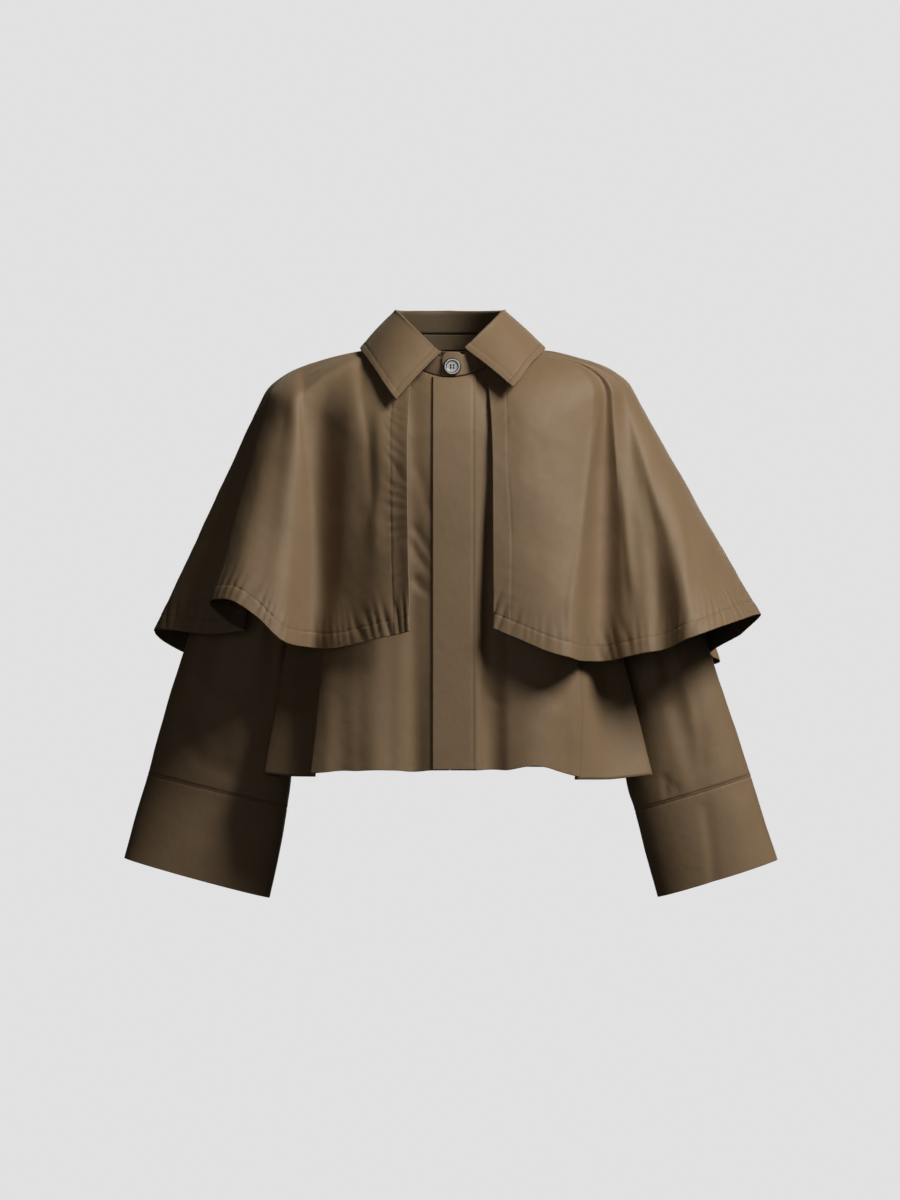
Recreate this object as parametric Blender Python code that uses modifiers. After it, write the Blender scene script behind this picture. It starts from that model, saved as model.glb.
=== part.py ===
"""Cape jacket: a cropped cotton jacket with a shoulder cape, filled out as if worn.

Metres, +Z up. The front faces -Y and the wearer's left is +X. The origin is the centre of the neck at
the height of the shoulder-neck points, where a wearer's shoulders hold the garment.
Each cut piece is one wall of cloth: an open surface worked out from its sections, thickened inwards.
Rows of a surface run from the top down, and columns run counterclockwise seen from above.
"""
import math

import bpy
from mathutils import Vector

# Cloth
SINGLE_CLOTH = 0.0012
DOUBLE_CLOTH = 0.0020
SEAM_GAP = 0.0005

# Neck seam: an egg-shaped ring, low at the front
NECK_HALF_WIDTH = 0.068
NECK_HALF_DEPTH = 0.082
NECK_CENTRE_Y = -0.014
NECK_FRONT_Z = -0.033
NECK_SIDE_Z = 0.006
NECK_DROP = 0.0010

# Shoulder seam and trunk
SHOULDER_END = Vector((0.188, 0.005, -0.036))
SHOULDER_SHARE = 0.42
UNDERARM = Vector((0.178, 0.018, -0.230))
UNDERARM_HAND = Vector((0.171, -0.014, -0.226))
TRUNK_COLUMNS = 10
YOKE_STEPS = (0.0, 0.3, 0.65)
PLACKET_FREE_EDGE_X = -0.020
PLACKET_STITCH_X = 0.031
PLACKET_TOP_LEVEL = 0.04

# Collar
STAND_OVERLAP_START = -7.6
STAND_OVERLAP_END = 372.0
STAND_LAP = 0.0016
FALL_START = 15.0
FALL_END = 350.6
FOLD_FRONT_HALF_WIDTH = 0.0125
FOLD_HALF_WIDTH = 0.0620
FOLD_FRONT_Z = -0.0040
FOLD_SIDE_Z = 0.0485
FOLD_BACK_Z = 0.0525
SEAM_BACK_Z = 0.024
SEAM_DIP = 0.0056
COLLAR_STEPS = 36
FALL_BULGE = 0.0012

# Cape hem
PUCKER_SPACING = 0.0130
PUCKER_DEPTH = 0.0012

# Button
BUTTON_RADIUS = 0.0105
BUTTON_THICKNESS = 0.0034
BUTTON_X = 0.0026
BUTTON_Z = -0.0222
BUTTON_HOLE_RADIUS = 0.0009
BUTTON_HOLE_OFFSET = 0.0017
BUTTON_TILT = 3.0
BUTTON_SEAT = 0.0003

# Trunk fronts, one row for each section:
# centre y, centre z, handle x, handle y, edge x, edge y, edge z
FRONT_SECTIONS = (
    (-0.125, -0.100, 0.150, -0.110, 0.1690, -0.052, -0.118),
    (-0.135, -0.150, 0.152, -0.113, 0.1680, -0.053, -0.165),
    (-0.140, -0.195, 0.154, -0.110, 0.1690, -0.042, -0.203),
    (-0.143, -0.255, 0.150, -0.121, 0.1580, -0.078, -0.262),
    (-0.146, -0.330, 0.138, -0.136, 0.1500, -0.107, -0.335),
    (-0.149, -0.420, 0.132, -0.145, 0.1560, -0.120, -0.424),
)
FRONT_HEM = {
    "right": (-0.152, -0.4970, 0.128, -0.152, 0.1650, -0.128, -0.5015),
    "left": (-0.152, -0.4970, 0.122, -0.152, 0.1530, -0.130, -0.5055),
}
ARMHOLE_SECTIONS = 3

# Trunk back, same columns as the fronts
BACK_SECTIONS = (
    (0.109, -0.105, 0.140, 0.124, 0.1700, 0.066, -0.128),
    (0.116, -0.160, 0.145, 0.130, 0.1700, 0.064, -0.180),
    (0.121, -0.225, 0.160, 0.120, UNDERARM.x, UNDERARM.y, UNDERARM.z),
    (0.125, -0.300, 0.158, 0.122, 0.1770, 0.018, -0.302),
    (0.131, -0.395, 0.152, 0.130, 0.1750, 0.019, -0.397),
    (0.138, -0.502, 0.150, 0.141, 0.1730, 0.020, -0.503),
)

# Soft folds of the fronts: side, centre x, half width, depth (in is positive), starting height,
# and how far the hem moves up there
FRONT_FOLDS = (
    ("right", 0.043, 0.022, 0.0050, -0.330, -0.0020),
    ("right", 0.088, 0.024, -0.0045, -0.300, 0.0006),
    ("right", 0.128, 0.020, 0.0040, -0.340, 0.0010),
    ("left", 0.050, 0.020, 0.0050, -0.150, 0.0010),
    ("left", 0.102, 0.044, -0.0065, -0.300, 0.0068),
    ("left", 0.134, 0.014, 0.0040, -0.340, 0.0),
)

# Side panels, one row for each line down the panel: share of the underarm arc, hem x, hem y, hem z
SIDE_PANEL_LINES = {
    "right": (
        (0.30, 0.188, -0.098, -0.5055),
        (0.48, 0.222, -0.073, -0.5035),
        (0.62, 0.208, -0.048, -0.508),
        (0.80, 0.182, -0.022, -0.506),
    ),
    "left": (
        (0.30, 0.190, -0.101, -0.5090),
        (0.48, 0.240, -0.070, -0.5045),
        (0.62, 0.218, -0.045, -0.506),
        (0.80, 0.186, -0.020, -0.505),
    ),
}
SIDE_PANEL_TUCK = 0.0050
SIDE_PANEL_DEPTH = 0.0036

# Sleeves, one row for each ring: outer x, outer z, inner x, inner z, centre y, half depth
SLEEVE_RINGS = {
    "right": (
        (0.2030, -0.047, 0.1835, -0.240, 0.008, 0.066),
        (0.2150, -0.075, 0.1870, -0.256, 0.010, 0.064),
        (0.2350, -0.125, 0.1900, -0.282, 0.012, 0.060),
        (0.2580, -0.188, 0.1915, -0.325, 0.015, 0.056),
        (0.2880, -0.270, 0.1910, -0.385, 0.018, 0.050),
        (0.3210, -0.360, 0.1900, -0.445, 0.020, 0.046),
        (0.3470, -0.445, 0.1905, -0.505, 0.021, 0.043),
        (0.3630, -0.505, 0.1955, -0.545, 0.022, 0.041),
    ),
    "left": (
        (0.2030, -0.044, 0.1835, -0.240, 0.008, 0.066),
        (0.2170, -0.075, 0.1870, -0.256, 0.010, 0.064),
        (0.2370, -0.125, 0.1920, -0.282, 0.012, 0.060),
        (0.2570, -0.188, 0.1960, -0.325, 0.015, 0.056),
        (0.2840, -0.270, 0.1990, -0.385, 0.018, 0.050),
        (0.3130, -0.360, 0.2030, -0.450, 0.020, 0.046),
        (0.3430, -0.450, 0.2120, -0.515, 0.021, 0.043),
        (0.3615, -0.507, 0.2220, -0.549, 0.022, 0.041),
    ),
}
CUFF_RINGS = {
    "right": (
        (0.3630, -0.505, 0.1955, -0.545, 0.022, 0.041),
        (0.3785, -0.557, 0.2050, -0.601, 0.022, 0.040),
        (0.3925, -0.608, 0.2170, -0.656, 0.022, 0.038),
    ),
    "left": (
        (0.3615, -0.507, 0.2220, -0.549, 0.022, 0.041),
        (0.3770, -0.558, 0.2350, -0.601, 0.022, 0.040),
        (0.3945, -0.610, 0.2500, -0.655, 0.022, 0.038),
    ),
}
SLEEVE_COLUMNS = 20
SLEEVE_SEAM_SHIFT = 0.0005

# Soft folds down the sleeves: side, share round the ring, half width, depth (in is positive),
# first ring, last ring
SLEEVE_FOLDS = (
    ("right", 0.13, 0.060, 0.0060, 1.0, 8.0),
    ("right", 0.34, 0.055, 0.0070, 0.6, 7.0),
    ("right", 0.80, 0.060, 0.0070, 1.0, 8.0),
    ("left", 0.23, 0.045, 0.0055, 2.5, 9.0),
    ("left", 0.36, 0.055, 0.0070, 0.6, 7.0),
    ("left", 0.70, 0.060, 0.0070, 1.0, 8.0),
)

# Cape ribs, one row for each: neck angle, shoulder x, y, z, hem x, y, z, bend.
# A rib rounds the shoulder from the neck to its shoulder point, then falls straight to the hem.
CAPE_RIGHT_RIBS = (
    (37.0, -0.0490, -0.150, -0.150, -0.0450, -0.187, -0.3350, 0.080),
    (44.0, -0.0740, -0.141, -0.140, -0.0820, -0.172, -0.3420, 0.075),
    (51.0, -0.0960, -0.129, -0.120, -0.1110, -0.154, -0.3495, 0.070),
    (58.0, -0.1190, -0.117, -0.102, -0.1380, -0.1385, -0.3545, 0.065),
    (66.0, -0.1520, -0.092, -0.084, -0.1640, -0.119, -0.3535, 0.060),
    (73.0, -0.1800, -0.094, -0.072, -0.1950, -0.168, -0.3450, 0.055),
    (78.0, -0.1960, -0.081, -0.066, -0.2260, -0.168, -0.3170, 0.050),
    (82.0, -0.2080, -0.065, -0.062, -0.2560, -0.158, -0.2980, 0.048),
    (85.0, -0.2170, -0.044, -0.058, -0.2830, -0.122, -0.3000, 0.046),
    (87.0, -0.2160, -0.032, -0.057, -0.2660, -0.090, -0.3200, 0.045),
    (89.0, -0.2130, -0.027, -0.056, -0.2430, -0.078, -0.3340, 0.045),
)
CAPE_BACK_RIBS = (
    (89.0, -0.2130, -0.027, -0.056, -0.2430, -0.078, -0.3340, 0.045),
    (91.0, -0.2160, -0.019, -0.055, -0.2860, -0.062, -0.3380, 0.045),
    (93.0, -0.2225, -0.009, -0.054, -0.3325, -0.038, -0.3335, 0.045),
    (96.0, -0.2255, 0.000, -0.054, -0.3545, 0.000, -0.3340, 0.045),
    (102.0, -0.2225, 0.020, -0.054, -0.3420, 0.040, -0.3500, 0.045),
    (112.0, -0.2080, 0.050, -0.054, -0.3020, 0.082, -0.3690, 0.045),
    (125.0, -0.1800, 0.080, -0.052, -0.2350, 0.112, -0.3780, 0.045),
    (140.0, -0.1300, 0.099, -0.048, -0.1550, 0.152, -0.3770, 0.045),
    (157.0, -0.0700, 0.109, -0.044, -0.0820, 0.150, -0.3850, 0.045),
    (176.0, -0.0100, 0.113, -0.042, -0.0080, 0.170, -0.3800, 0.045),
    (198.0, 0.0620, 0.110, -0.044, 0.0700, 0.152, -0.3860, 0.045),
    (215.0, 0.1200, 0.101, -0.047, 0.1480, 0.155, -0.3800, 0.045),
    (232.0, 0.1720, 0.084, -0.051, 0.2280, 0.118, -0.3830, 0.045),
    (245.0, 0.1990, 0.062, -0.052, 0.2950, 0.108, -0.3790, 0.045),
    (251.0, 0.2060, 0.050, -0.051, 0.3290, 0.090, -0.3730, 0.045),
    (257.0, 0.2100, 0.038, -0.049, 0.3160, 0.058, -0.3610, 0.044),
    (262.0, 0.2135, 0.024, -0.046, 0.3500, 0.026, -0.3395, 0.044),
)
CAPE_LEFT_RIBS = (
    (98.0, 0.2135, 0.024, -0.046, 0.3500, 0.026, -0.3395, 0.044),
    (94.0, 0.2170, 0.010, -0.044, 0.3705, 0.000, -0.3190, 0.045),
    (90.0, 0.2180, -0.006, -0.044, 0.3665, -0.036, -0.3150, 0.045),
    (87.0, 0.2150, -0.025, -0.047, 0.3385, -0.104, -0.3225, 0.045),
    (84.0, 0.2100, -0.039, -0.051, 0.2930, -0.160, -0.3372, 0.044),
    (80.0, 0.2040, -0.049, -0.054, 0.2490, -0.143, -0.3542, 0.046),
    (75.0, 0.1940, -0.065, -0.056, 0.2060, -0.131, -0.3638, 0.048),
    (71.0, 0.1830, -0.064, -0.057, 0.1750, -0.117, -0.3690, 0.050),
    (67.0, 0.1730, -0.087, -0.059, 0.1530, -0.170, -0.3680, 0.052),
    (63.0, 0.1640, -0.096, -0.063, 0.1330, -0.186, -0.3630, 0.055),
    (55.0, 0.1300, -0.119, -0.085, 0.1100, -0.184, -0.3560, 0.062),
    (46.0, 0.0900, -0.136, -0.115, 0.0820, -0.176, -0.3440, 0.070),
    (37.0, 0.0500, -0.142, -0.150, 0.0510, -0.165, -0.3310, 0.080),
)

# Collar fall, one row for each place along its outer edge: angle round the neck, x, y, z
FALL_EDGE = (
    (15.0, 0.0738, -0.1310, -0.0470),
    (32.0, 0.0835, -0.1200, -0.0355),
    (50.0, 0.0960, -0.0960, -0.0180),
    (68.0, 0.1080, -0.0620, -0.0050),
    (88.0, 0.1135, -0.0260, 0.0040),
    (115.0, 0.1020, 0.0360, 0.0080),
    (145.0, 0.0640, 0.0820, 0.0050),
    (180.0, 0.0000, 0.1000, 0.0020),
    (215.0, -0.0620, 0.0820, 0.0050),
    (245.0, -0.0970, 0.0360, 0.0080),
    (272.0, -0.1070, -0.0260, 0.0035),
    (291.0, -0.0990, -0.0660, -0.0100),
    (309.0, -0.0880, -0.0970, -0.0260),
    (330.0, -0.0755, -0.1200, -0.0455),
    (350.6, -0.0635, -0.1320, -0.0620),
)


def row_between(table, position):
    """Smooth values between the rows of a table; position counts rows and may be fractional."""
    last = len(table) - 1
    position = min(max(position, 0.0), float(last))
    start = min(int(position), last - 1)
    share = position - start
    here = table[start]
    after = table[start + 1]
    before = table[start - 1] if start > 0 else tuple(2 * a - b for a, b in zip(here, after))
    beyond = table[start + 2] if start + 2 <= last else tuple(2 * b - a for a, b in zip(here, after))
    values = []
    for a, b, c, d in zip(before, here, after, beyond):
        line = 2 * b + (c - a) * share
        curve = (2 * a - 5 * b + 4 * c - d) * share ** 2 + (3 * b - a - 3 * c + d) * share ** 3
        values.append(0.5 * (line + curve))
    return tuple(values)


def even_positions(point_at, first, last, count):
    """Positions from first to last that lie at equal steps along the curve point_at."""
    samples = 240
    places = [first + (last - first) * i / samples for i in range(samples + 1)]
    points = [point_at(place) for place in places]
    lengths = [0.0]
    for a, b in zip(points, points[1:]):
        lengths.append(lengths[-1] + (b - a).length)
    positions = []
    index = 0
    for step in range(count + 1):
        wanted = lengths[-1] * step / count
        while index < samples - 1 and lengths[index + 1] < wanted:
            index += 1
        span = lengths[index + 1] - lengths[index]
        share = (wanted - lengths[index]) / span if span > 0 else 0.0
        positions.append(places[index] + (places[index + 1] - places[index]) * min(share, 1.0))
    return positions, lengths[-1]


def soft_hump(distance, half_width):
    """1 at the middle of a fold, falling smoothly to 0 at its sides."""
    share = min(abs(distance) / half_width, 1.0)
    return 0.5 + 0.5 * math.cos(math.pi * share)


def mixed(a, b, share):
    return a + (b - a) * share


def neck_point(angle, out=0.0, up=0.0):
    """A point on the neck seam: angle 0 at centre front, 90 at the wearer's left, 180 at centre back."""
    turn = math.radians(angle)
    from_front = abs((angle + 180.0) % 360.0 - 180.0)
    rise = math.sin(math.radians(min(from_front, 100.0) * 0.9)) ** 2
    x = (NECK_HALF_WIDTH + out) * math.sin(turn)
    y = NECK_CENTRE_Y - (NECK_HALF_DEPTH + out) * math.cos(turn)
    return Vector((x, y, mixed(NECK_FRONT_Z, NECK_SIDE_Z, rise) + up))


def cell_faces(left, right, below):
    """Faces of one cell: a quad, or a fan of triangles where the row below has finer columns."""
    if len(below) == 2:
        return [(left, below[0], below[1], right)]
    half = len(below) // 2
    fan = [(left, below[k], below[k + 1]) for k in range(half)]
    fan.append((left, below[half], right))
    fan += [(right, below[k], below[k + 1]) for k in range(half, len(below) - 1)]
    return fan


def wall(name, rows, thickness, material, closed=False):
    """One piece of cloth: the rows make its outer surface, and the thickness goes inwards."""
    points = [point for row in rows for point in row]
    starts = [0]
    for row in rows:
        starts.append(starts[-1] + len(row))
    faces = []
    for level in range(len(rows) - 1):
        upper = starts[level]
        lower = starts[level + 1]
        cells = len(rows[level]) if closed else len(rows[level]) - 1
        lower_cells = len(rows[level + 1]) if closed else len(rows[level + 1]) - 1
        finer = lower_cells // cells
        for cell in range(cells):
            following = (cell + 1) % len(rows[level])
            below = [lower + (cell * finer + k) % len(rows[level + 1]) for k in range(finer + 1)]
            faces += cell_faces(upper + cell, upper + following, below)
    mesh = bpy.data.meshes.new(name)
    mesh.from_pydata(points, [], faces)
    mesh.shade_smooth()
    mesh.materials.append(material)
    piece = bpy.data.objects.new(name, mesh)
    jacket.objects.link(piece)
    cloth = piece.modifiers.new("Cloth thickness", "SOLIDIFY")
    cloth.thickness = thickness
    cloth.offset = -1.0
    cloth.use_even_offset = True
    return piece


def finish(name, colour, roughness, metallic=0.0):
    material = bpy.data.materials.new(name)
    material.use_nodes = True
    shader = material.node_tree.nodes["Principled BSDF"]
    shader.inputs["Base Color"].default_value = (*colour, 1.0)
    shader.inputs["Roughness"].default_value = roughness
    shader.inputs["Metallic"].default_value = metallic
    return material


def side_sign(side):
    return -1.0 if side == "right" else 1.0


def top_edge(share, front):
    """The trunk's top edge on the wearer's left: the neck seam, then the shoulder seam to its end."""
    facing = -1.0 if front else 1.0
    if share <= SHOULDER_SHARE:
        turn = 88.0 * share / SHOULDER_SHARE
        angle = turn if front else 180.0 - turn
        return neck_point(angle, out=0.0006, up=-SEAM_GAP - NECK_DROP)
    along = (share - SHOULDER_SHARE) / (1.0 - SHOULDER_SHARE)
    neck_end = neck_point(88.0 if front else 92.0, out=0.0006, up=-SEAM_GAP - NECK_DROP)
    seam = mixed(neck_end, SHOULDER_END, along)
    seam.y = mixed(neck_end.y, SHOULDER_END.y + facing * 2 * SEAM_GAP, along)
    seam.z += 0.004 * math.sin(math.pi * along)
    return seam


def section_point(row, share):
    """A point on one section of the trunk, from its centre line (0) to its edge (1)."""
    centre_y, centre_z, hand_x, hand_y, edge_x, edge_y, edge_z = row
    near = Vector((0.0, centre_y))
    near_hand = Vector((hand_x * 0.6, centre_y))
    far_hand = Vector((hand_x, hand_y))
    far = Vector((edge_x, edge_y))
    rest = 1.0 - share
    flat = (near * rest ** 3 + near_hand * 3 * rest ** 2 * share
            + far_hand * 3 * rest * share ** 2 + far * share ** 3)
    return Vector((flat.x, flat.y, mixed(centre_z, edge_z, share ** 3)))


def trunk_row(sections, level, share, front):
    """A point of a trunk panel: level 0 is the top edge, 1 the first section, 2 the second and so on."""
    if level >= 1.0:
        return section_point(row_between(sections, level - 1.0), share)
    start = top_edge(share, front)
    end = section_point(sections[0], share)
    bend = Vector((mixed(start.x, end.x, 0.50), mixed(start.y, end.y, 0.56), mixed(start.z, end.z, 0.31)))
    rest = 1.0 - level
    return start * rest ** 2 + bend * 2 * rest * level + end * level ** 2


def front_point(side, level, share):
    """A point of a trunk front, with its soft folds, mirrored for the right side."""
    sections = FRONT_SECTIONS + (FRONT_HEM[side],)
    point = trunk_row(sections, level, share, front=True)
    for fold_side, centre, half_width, depth, start_z, hem_lift in FRONT_FOLDS:
        if fold_side == side and point.z < start_z:
            growth = min((start_z - point.z) / 0.20, 1.0)
            hump = growth * soft_hump(point.x - centre, half_width)
            point.y += depth * hump
            point.z += hem_lift * hump
    point.x *= side_sign(side)
    return point


def back_point(level, share):
    """A point of the trunk back: share runs from -1 at the wearer's left to 1 at the right."""
    point = trunk_row(BACK_SECTIONS, level, abs(share), front=False)
    if share > 0:
        point.x = -point.x
    return point


def underarm_point(side, share):
    """The bottom of the armhole, from the front's edge (0) to the side seam (1)."""
    start = section_point(FRONT_SECTIONS[ARMHOLE_SECTIONS - 1], 1.0)
    rest = 1.0 - share
    point = start * rest ** 2 + UNDERARM_HAND * 2 * rest * share + UNDERARM * share ** 2
    point.x *= side_sign(side)
    return point


def spread(first, last, steps):
    return [first + (last - first) * i / steps for i in range(steps + 1)]


def front_levels():
    return list(YOKE_STEPS) + [1.0, 2.0, 3.0, 3.7, 4.4, 5.0, 5.5, 6.0, 6.5, 7.0]


def make_front(side, material):
    rows = []
    for level in front_levels():
        row = [front_point(side, level, share) for share in spread(0.0, 1.0, TRUNK_COLUMNS)]
        row[0].x = side_sign(side) * SEAM_GAP
        if side == "right":
            row.reverse()
        rows.append(row)
    wall("front_" + side, rows, SINGLE_CLOTH, material)


def make_back(material):
    shares = spread(-1.0, 1.0, 2 * TRUNK_COLUMNS - 2)
    levels = list(YOKE_STEPS) + [1.0, 2.0, 3.0, 3.7, 4.4, 5.2, 6.0]
    rows = []
    for level in levels:
        row = [back_point(level, share) for share in shares]
        if level >= ARMHOLE_SECTIONS:
            row[0].y += SEAM_GAP
            row[-1].y += SEAM_GAP
        rows.append(row)
    wall("back", rows, SINGLE_CLOTH, material)


def side_panel_rows(side, steps):
    """Rows of a side panel: tucked behind the front's edge, out to its fold, back to the side seam."""
    sign = side_sign(side)
    rows = []
    hem_level = len(FRONT_SECTIONS) + 1.0
    for step in range(steps + 1):
        down = step / steps
        level = mixed(float(ARMHOLE_SECTIONS), hem_level, down)
        edge = front_point(side, level, 1.0)
        inner = front_point(side, level, 0.90)
        along = (inner - edge).normalized()
        behind = Vector((-along.y * sign, along.x * sign, 0.0)).normalized()
        if behind.y < 0:
            behind = -behind
        tuck = min(0.002 + down * 0.03, SIDE_PANEL_TUCK)
        lift = Vector((0.0, 0.0, -0.0025 - 0.0015 * down))
        row = [edge + along * tuck + behind * SIDE_PANEL_DEPTH + lift]
        for share, hem_x, hem_y, hem_z in SIDE_PANEL_LINES[side]:
            top = underarm_point(side, share) + Vector((0.0, 0.0, -0.001))
            row.append(mixed(top, Vector((hem_x * sign, hem_y, hem_z)), down))
        seam_level = mixed(float(ARMHOLE_SECTIONS), float(len(BACK_SECTIONS)), down)
        seam = trunk_row(BACK_SECTIONS, seam_level, 1.0, front=False)
        row.append(Vector((seam.x * sign, seam.y - SEAM_GAP, seam.z - 0.001 * (1 - down))))
        rows.append(row)
    return rows


def make_side_panel(side, material):
    rows = side_panel_rows(side, 8)
    finer = []
    for row in rows:
        line = []
        for a, b in zip(row, row[1:]):
            line.append(a)
            line.append(mixed(a, b, 0.5))
        line.append(row[-1])
        if side == "right":
            line.reverse()
        finer.append(line)
    wall("side_panel_" + side, finer, SINGLE_CLOTH, material)


def armhole_loop(side):
    """Points round the armhole: from the shoulder end down the front, under the arm and up the back."""
    levels = spread(0.0, 1.0, 6) + spread(1.0, float(ARMHOLE_SECTIONS), 8)[1:]
    front = [front_point(side, level, 1.0) for level in levels]
    arc = [underarm_point(side, share) for share in spread(0.0, 1.0, 6)[1:]]
    back = []
    for level in reversed(levels):
        point = trunk_row(BACK_SECTIONS, level, 1.0, front=False)
        point.x *= side_sign(side)
        back.append(point)
    return front + arc, back


def at_share(points, share):
    """The point at a share of a polyline's length."""
    lengths = [0.0]
    for a, b in zip(points, points[1:]):
        lengths.append(lengths[-1] + (b - a).length)
    wanted = share * lengths[-1]
    for index in range(len(points) - 1):
        if wanted <= lengths[index + 1] or index == len(points) - 2:
            span = lengths[index + 1] - lengths[index]
            return mixed(points[index], points[index + 1], (wanted - lengths[index]) / span)


def ring_point(row, side, share, inset=0.0):
    """A point on a sleeve ring: share 0 outside, 0.25 in front, 0.5 inside, 0.75 behind."""
    outer_x, outer_z, inner_x, inner_z, centre_y, half_depth = row
    turn = 2 * math.pi * share
    across = math.cos(turn)
    centre_x = 0.5 * (outer_x + inner_x)
    centre_z = 0.5 * (outer_z + inner_z)
    x = centre_x + 0.5 * (outer_x - inner_x) * across
    z = centre_z + 0.5 * (outer_z - inner_z) * across
    y = centre_y - (half_depth - inset) * math.sin(turn)
    return Vector((side_sign(side) * x, y, z))


def sleeve_point(side, level, share):
    """A point of a sleeve: level 0 is the armhole, 1 the first ring of the table and so on."""
    rings = SLEEVE_RINGS[side]
    if level < 1.0:
        down_front, up_back = armhole_loops[side]
        if share <= 0.5:
            start = at_share(down_front, share * 2)
        else:
            start = at_share(up_back, share * 2 - 1)
        shift = Vector((side_sign(side), 0.0, -0.5)) * SLEEVE_SEAM_SHIFT
        start = start + shift
        return mixed(start, ring_point(rings[0], side, share), level)
    inset = 0.0
    for fold_side, centre, half_width, depth, first, last in SLEEVE_FOLDS:
        if fold_side == side and first < level <= last:
            middle = 0.5 * (first + last)
            inset += depth * soft_hump(level - middle, middle - first) * soft_hump(share - centre, half_width)
    return ring_point(row_between(rings, level - 1.0), side, share, inset)


def make_sleeve(side, material):
    levels = [0.0, 0.5, 1.0, 1.6, 2.3, 3.0, 3.7, 4.4, 5.1, 5.8, 6.5, 7.2, 8.0]
    rows = []
    for level in levels:
        row = [sleeve_point(side, level, i / SLEEVE_COLUMNS) for i in range(SLEEVE_COLUMNS)]
        if side == "left":
            row.reverse()
        rows.append(row)
    wall("sleeve_" + side, rows, SINGLE_CLOTH, material, closed=True)


def make_cuff(side, material):
    rings = CUFF_RINGS[side]
    top = ring_point(rings[0], side, 0.0) + ring_point(rings[0], side, 0.5)
    bottom = ring_point(rings[-1], side, 0.0) + ring_point(rings[-1], side, 0.5)
    down = (bottom - top).normalized()
    rows = []
    for level in (0.0, 0.7, 1.4, 2.0):
        ring = row_between(rings, level)
        start = SEAM_GAP * 1.6 * (1.0 - level / 2.0)
        row = [ring_point(ring, side, i / SLEEVE_COLUMNS) + down * start for i in range(SLEEVE_COLUMNS)]
        if side == "left":
            row.reverse()
        rows.append(row)
    wall("cuff_" + side, rows, DOUBLE_CLOTH, material, closed=True)


def rib_point(rib, down):
    """A point on a cape rib: down 0 at the neck, 1 at the shoulder point, 2 at the hem."""
    angle, shoulder_x, shoulder_y, shoulder_z, hem_x, hem_y, hem_z, bend = rib
    shoulder = Vector((shoulder_x, shoulder_y, shoulder_z))
    hem = Vector((hem_x, hem_y, hem_z))
    if down >= 1.0:
        return mixed(shoulder, hem, down - 1.0)
    start = neck_point(angle, out=0.0026, up=0.0012)
    corner = shoulder - (hem - shoulder).normalized() * bend
    rest = 1.0 - down
    return start * rest ** 2 + corner * 2 * rest * down + shoulder * down ** 2


def drawn_in(row, gap):
    """A row whose two ends are moved in, to leave a seam's gap to the neighbouring pieces."""
    first = row[0] + (row[1] - row[0]).normalized() * gap
    last = row[-1] + (row[-2] - row[-1]).normalized() * gap
    return [first] + row[1:-1] + [last]


def cape_rows(ribs, columns, finer, seam_gap):
    """Rows of a cape piece: coarse columns above, and fine ones with puckers in the hem's band."""
    hem_at = lambda position: rib_point(row_between(ribs, position), 2.0)
    coarse, length = even_positions(hem_at, 0.0, len(ribs) - 1.0, columns)
    rows = []
    for down in (0.0, 0.2, 0.4, 0.6, 0.8, 1.0, 1.2, 1.4, 1.6, 1.8):
        rows.append([rib_point(row_between(ribs, position), down) for position in coarse])
    fine = []
    for a, b in zip(coarse, coarse[1:]):
        fine += [mixed(a, b, k / finer) for k in range(finer)]
    fine.append(coarse[-1])
    for down, strength in ((1.88, 0.25), (1.94, 1.0), (2.0, 0.55)):
        row = [rib_point(row_between(ribs, position), down) for position in fine]
        rows.append(pucker(row, strength))
    return [drawn_in(row, seam_gap) for row in rows]


def pucker(row, strength):
    """Moves a row's points in and out in short uneven waves, none at its two ends."""
    moved = []
    travelled = 0.0
    last = len(row) - 1
    for index, point in enumerate(row):
        before = row[max(index - 1, 0)]
        after = row[min(index + 1, last)]
        if index:
            travelled += (point - row[index - 1]).length
        along = after - before
        out = Vector((along.y, -along.x, 0.0)).normalized()
        ends = min(index, last - index) / 12.0
        uneven = 0.65 + 0.35 * math.sin(travelled * 41.0)
        wave = math.cos(2 * math.pi * travelled / PUCKER_SPACING + 1.4 * math.sin(travelled * 23.0))
        moved.append(point + out * wave * uneven * PUCKER_DEPTH * strength * min(ends, 1.0))
    return moved


def make_cape(material):
    """The three cape pieces; on the wearer's right the neck angles are turned negative."""
    front_right = [(-rib[0],) + rib[1:] for rib in reversed(CAPE_RIGHT_RIBS)]
    back = [(-rib[0],) + rib[1:] for rib in reversed(CAPE_BACK_RIBS)]
    front_left = list(reversed(CAPE_LEFT_RIBS))
    wall("cape_front_right", cape_rows(front_right, 26, 4, 0.0), SINGLE_CLOTH, material)
    wall("cape_back", cape_rows(back, 38, 3, 2 * SEAM_GAP), SINGLE_CLOTH, material)
    wall("cape_front_left", cape_rows(front_left, 30, 4, 0.0), SINGLE_CLOTH, material)


def fold_height(angle):
    """Height of the collar's fold line: nearly level behind, falling straight to the front."""
    from_front = abs((angle + 180.0) % 360.0 - 180.0)
    across = FOLD_HALF_WIDTH * math.sin(math.radians(min(from_front, 90.0)))
    share = (across - FOLD_FRONT_HALF_WIDTH) / (FOLD_HALF_WIDTH - FOLD_FRONT_HALF_WIDTH)
    height = mixed(FOLD_FRONT_Z, FOLD_SIDE_Z, min(max(share, 0.0), 1.0))
    return height + (FOLD_BACK_Z - FOLD_SIDE_Z) * max(from_front - 90.0, 0.0) / 90.0


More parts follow.
